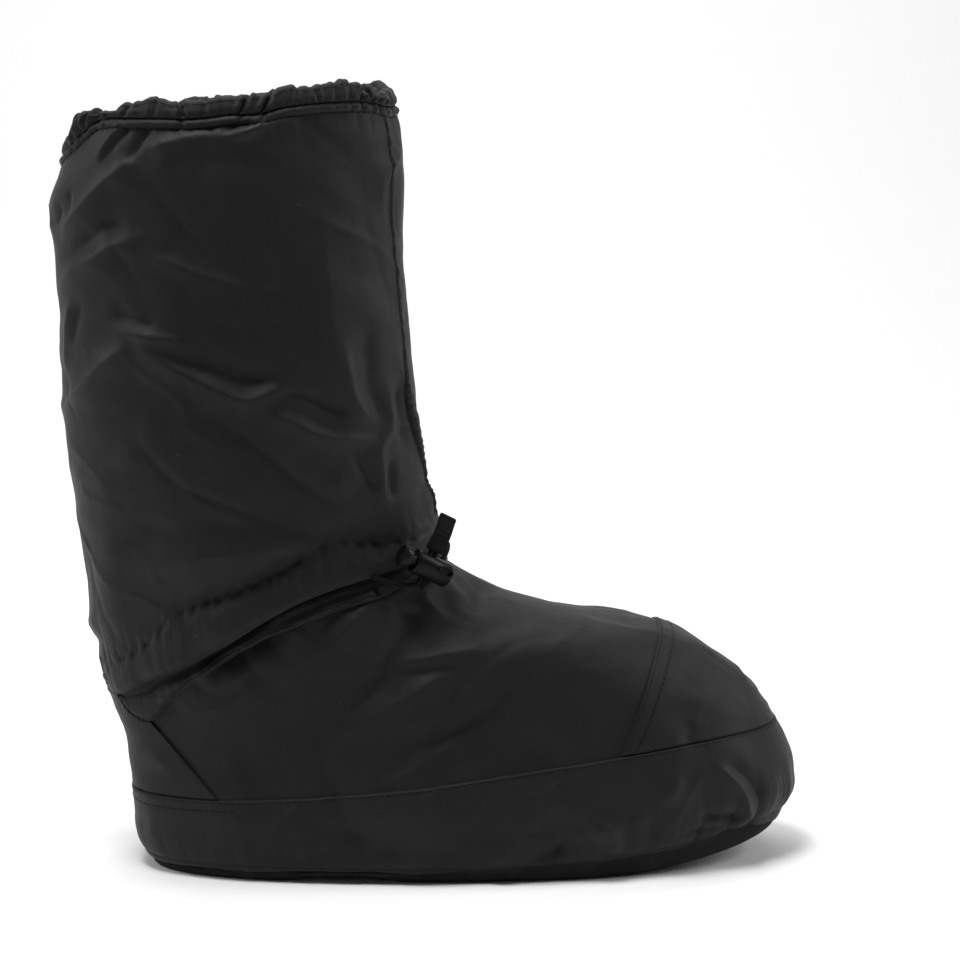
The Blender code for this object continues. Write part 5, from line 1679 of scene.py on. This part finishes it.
def make_tab():
    """A folded tape over the strands' ends: flat, a little waisted, stitched across twice.

    Its section is a superellipse whose width and thickness change along it.
    """
    s = np.linspace(0, 1, 60)[:, None]
    turn = np.linspace(0, 2 * np.pi, TAB_SIDES, endpoint=False)[None, :]
    c, q = np.cos(turn), np.sin(turn)
    ends = np.sqrt(np.clip(1 - np.clip(np.abs(2 * s - 1) - 0.86, 0, 1) ** 2 / 0.14**2, 0.05, 1))
    half_wide = TAB_WIDE / 2 * (1 - 0.05 * np.sin(np.pi * s)) * (0.86 + 0.14 * ends)
    stitched = 1 - 0.16 * bell(s, 0.40, 0.035) - 0.16 * bell(s, 0.52, 0.035)
    swell = 1 - 0.34 * fade(s, 0.30, 0.85)
    half_thick = TAB_THICK / 2 * swell * stitched * (0.25 + 0.75 * ends)
    across = half_wide * np.sign(c) * np.abs(c) ** (2 / 5)
    through = half_thick * np.sign(q) * np.abs(q) ** (2 / 3.2)
    rib = np.cos(across / TAPE_RIB * 2 * np.pi) * (np.abs(q) > 0.5)
    through = through * (1 + 0.035 * rib) + 0.0011 * np.sin(np.pi * s) ** 2
    grid = in_lock(SLOT_MIDDLE + across, TAB_START + TAB_LONG * s, through)
    middle = grid.mean(axis=1, keepdims=True)
    inner, outer = [middle * (1 - k) + grid * k for k in (0.02, 0.6)]
    grid = np.concatenate([inner[:1], outer[:1], grid, outer[-1:], inner[-1:]])[:, ::-1]
    mesh = sheet_mesh("tab_tape", grid, around=True, uv=cloth_uv(grid, around=True))
    paint = paint_once("woven_tape", braid_paint, "cord", TAPE_RIB)
    return show(worked(mesh, capping(TAB_SIDES)), paint, "boot", ["pull_tab"])


def make_stitches(lines):
    """The stitches of all the seams as one piece."""
    mesh = bead_mesh("stitches", [stitches_along(*line) for line in lines])
    return show(mesh, paint_once("sewing_thread", thread_paint, "thread"), "boot")


# Stage: camera, sweep and lights

CAMERA_AZIMUTH = -2.0
CAMERA_PITCH = 8.65
CAMERA_DISTANCE = 1.300
CAMERA_HEIGHT = 0.39143
CAMERA_FOCAL_PIXELS = 2609.6
PICTURE_PIXELS = 960
ORIGIN_COLUMN = 465
SENSOR = 36.0
# Name, where the light stands, what it faces, width and height in metres, watts
LIGHTS = (
    ("top", (-0.28, -0.28, 1.62), (0.0, 0.0, 0.15), 0.6, 0.5, 21.0),
    ("left", (-1.50, -0.05, 0.95), (-0.10, 0.0, 0.20), 0.5, 1.0, 12.0),
    ("right", (1.45, 0.05, 0.85), (0.0, 0.0, 0.15), 0.5, 1.0, 13.0),
    ("backdrop", (0.0, 0.95, 2.10), (0.0, 1.70, 0.0), 2.4, 0.5, 28.0),
    ("front", (0.10, -1.60, 0.70), (-0.02, 0.0, 0.14), 0.9, 0.9, 0.6),
)


def make_camera():
    """The photograph's view: its pitch, its distance, and the origin at its own column."""
    a, e = np.radians(CAMERA_AZIMUTH), np.radians(CAMERA_PITCH)
    pan = np.arctan((PICTURE_PIXELS / 2 - ORIGIN_COLUMN) / CAMERA_FOCAL_PIXELS)
    right, away = np.array([np.cos(a), np.sin(a), 0]), np.array([-np.sin(a), np.cos(a), 0])
    panned_right = right * np.cos(pan) - away * np.sin(pan)
    panned_away = away * np.cos(pan) + right * np.sin(pan)
    ahead = panned_away * np.cos(e) + np.array([0, 0, -1.0]) * np.sin(e)
    up = np.cross(panned_right, ahead)
    data = bpy.data.cameras.new("camera")
    data.sensor_width = SENSOR
    data.lens = CAMERA_FOCAL_PIXELS / PICTURE_PIXELS * SENSOR
    camera = bpy.data.objects.new("camera", data)
    bpy.context.scene.collection.objects.link(camera)
    matrix = np.eye(4)
    matrix[:3, :3] = np.stack([panned_right, up, -ahead], -1)
    matrix[:3, 3] = -away * CAMERA_DISTANCE + np.array([0, 0, CAMERA_HEIGHT])
    camera.matrix_world = Matrix(matrix)
    bpy.context.scene.camera = camera


def make_sweep():
    """A floor that runs far out and, behind, rises through a quarter circle into a wall."""
    settings = bpy.context.scene.overboot_stage
    far, radius, side = settings.sweep_depth, settings.sweep_radius, 5.0
    turn = np.linspace(0, np.pi / 2, 24)
    y = np.concatenate([[-3.0, 0.0], far + radius * np.sin(turn), [far + radius]])
    z = np.concatenate([[0.0, 0.0], radius - radius * np.cos(turn), [4.0]])
    x = np.linspace(-side, side, 9)[None, :]
    y, z, x = np.broadcast_arrays(y[:, None], z[:, None], x)
    mesh = sheet_mesh("sweep", np.stack([x, y, z], -1))
    sweep = bpy.data.objects.new("sweep", mesh)
    bpy.context.scene.collection.objects.link(sweep)
    mesh.materials.append(paint_once("studio_floor", floor_paint, "floor"))


def make_lights():
    """The soft boxes of the table, each turned to what it lights, and an even, weak world."""
    settings = bpy.context.scene.overboot_stage
    for name, place, facing, wide, high, watts in LIGHTS:
        data = bpy.data.lights.new(name, "AREA")
        data.shape = "RECTANGLE"
        data.size, data.size_y = wide, high
        data.energy = watts * settings.light
        light = bpy.data.objects.new(name, data)
        bpy.context.scene.collection.objects.link(light)
        light.location = place
        light.rotation_euler = (Vector(facing) - Vector(place)).to_track_quat("-Z", "Y").to_euler()
    world = bpy.data.worlds.new("studio")
    bpy.context.scene.world = world
    world.use_nodes = True
    background = world.node_tree.nodes["Background"]
    background.inputs["Color"].default_value = (1.0, 1.0, 1.0, 1.0)
    background.inputs["Strength"].default_value = settings.ambient
    bpy.context.scene.view_settings.view_transform = "Standard"


class OverbootStage(bpy.types.PropertyGroup):
    """Floor and light."""
    light: bpy.props.FloatProperty(
        name="Light", description="Strength of all the lights, as a share of their own",
        default=1.0, min=0.0, max=10.0, subtype="FACTOR")
    ambient: bpy.props.FloatProperty(
        name="Ambient", description="Even light from all round", default=0.05, min=0.0, max=3.0)
    sweep_depth: length("Sweep depth", "From the boot to where the floor starts to rise", 1.2)
    sweep_radius: length("Sweep radius", "Radius of the rise behind the boot", 0.8)


# Operators, one for each piece or group of like pieces

# Stitch rows of the seams made so far, each as theta, t and metres off the cloth
SEWN = []


class OVERBOOT_OT_stage(bpy.types.Operator):
    """Makes the camera, the sweep and the lights"""
    bl_idname = "overboot.stage"
    bl_label = "Stage"

    def execute(self, context):
        make_camera()
        make_sweep()
        make_lights()
        return {"FINISHED"}


class OVERBOOT_OT_drawcord(bpy.types.Operator):
    """Makes the cord lock, the pull tab and the two strands that run through them"""
    bl_idname = "overboot.drawcord"
    bl_label = "Drawcord and lock"

    def execute(self, context):
        body, button = make_lock()
        tab = make_tab()
        for strand, whole, route in make_cords():
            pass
        return {"FINISHED"}


class OVERBOOT_OT_upper(bpy.types.Operator):
    """Makes the creased cloth of shaft and foot, and the lining inside"""
    bl_idname = "overboot.upper"
    bl_label = "Upper and lining"

    def execute(self, context):
        make_shaft()
        make_foot()
        make_lining()
        return {"FINISHED"}


class OVERBOOT_OT_panels(bpy.types.Operator):
    """Makes the toe cap and the heel counter"""
    bl_idname = "overboot.panels"
    bl_label = "Toe cap and heel counter"

    def execute(self, context):
        SEWN.extend(make_panels())
        return {"FINISHED"}


class OVERBOOT_OT_rand(bpy.types.Operator):
    """Makes the rand above the sole"""
    bl_idname = "overboot.rand"
    bl_label = "Rand"

    def execute(self, context):
        SEWN.extend(make_rand())
        return {"FINISHED"}


class OVERBOOT_OT_channel(bpy.types.Operator):
    """Makes the drawcord channel round the ankle"""
    bl_idname = "overboot.channel"
    bl_label = "Ankle channel"

    def execute(self, context):
        SEWN.extend(make_channel())
        return {"FINISHED"}


class OVERBOOT_OT_collar(bpy.types.Operator):
    """Makes the gathered casing at the rim and the stuffed band under it"""
    bl_idname = "overboot.collar"
    bl_label = "Collar"

    def execute(self, context):
        SEWN.extend(make_collar())
        return {"FINISHED"}


class OVERBOOT_OT_front_seam(bpy.types.Operator):
    """Makes the felled seam down the front of the shaft"""
    bl_idname = "overboot.front_seam"
    bl_label = "Front seam"

    def execute(self, context):
        SEWN.extend(make_front_seam())
        return {"FINISHED"}


class OVERBOOT_OT_sole(bpy.types.Operator):
    """Makes the rubber sole and the felt insole"""
    bl_idname = "overboot.sole"
    bl_label = "Sole and insole"

    def execute(self, context):
        make_sole()
        make_insole()
        return {"FINISHED"}


class OVERBOOT_OT_stitches(bpy.types.Operator):
    """Makes the stitches of every seam made so far"""
    bl_idname = "overboot.stitches"
    bl_label = "Stitches"

    def execute(self, context):
        if not SEWN:
            raise RuntimeError("no seam is made yet, so there is nothing to stitch")
        make_stitches(SEWN)
        return {"FINISHED"}


OPERATORS = (OVERBOOT_OT_stage, OVERBOOT_OT_drawcord, OVERBOOT_OT_upper, OVERBOOT_OT_rand,
             OVERBOOT_OT_panels, OVERBOOT_OT_channel, OVERBOOT_OT_collar,
             OVERBOOT_OT_front_seam, OVERBOOT_OT_sole, OVERBOOT_OT_stitches)
SETTINGS = (("overboot_cloth", OverbootCloth), ("overboot_colours", OverbootColours),
            ("overboot_stage", OverbootStage))


class OVERBOOT_PT_sidebar(bpy.types.Panel):
    """Sizes, colours and pieces of the overboot"""
    bl_idname = "OVERBOOT_PT_sidebar"
    bl_label = "Overboot"
    bl_space_type = "VIEW_3D"
    bl_region_type = "UI"
    bl_category = "Overboot"

    def draw(self, context):
        for attribute, group in SETTINGS:
            box = self.layout.box()
            for name in group.__annotations__:
                box.prop(getattr(context.scene, attribute), name)
        column = self.layout.column(align=True)
        for operator in OPERATORS:
            column.operator(operator.bl_idname)


def register():
    """Makes the settings, operators and panel known to Blender."""
    for attribute, group in SETTINGS:
        bpy.utils.register_class(group)
        setattr(bpy.types.Scene, attribute, bpy.props.PointerProperty(type=group))
    for made in (*OPERATORS, OVERBOOT_PT_sidebar):
        bpy.utils.register_class(made)


def unregister():
    """Takes them back, last first."""
    for made in (OVERBOOT_PT_sidebar, *reversed(OPERATORS)):
        bpy.utils.unregister_class(made)
    for attribute, group in reversed(SETTINGS):
        delattr(bpy.types.Scene, attribute)
        bpy.utils.unregister_class(group)


def main():
    register()
    for operator in OPERATORS:
        group, name = operator.bl_idname.split(".")
        getattr(getattr(bpy.ops, group), name)()


if __name__ == "__main__":
    main()
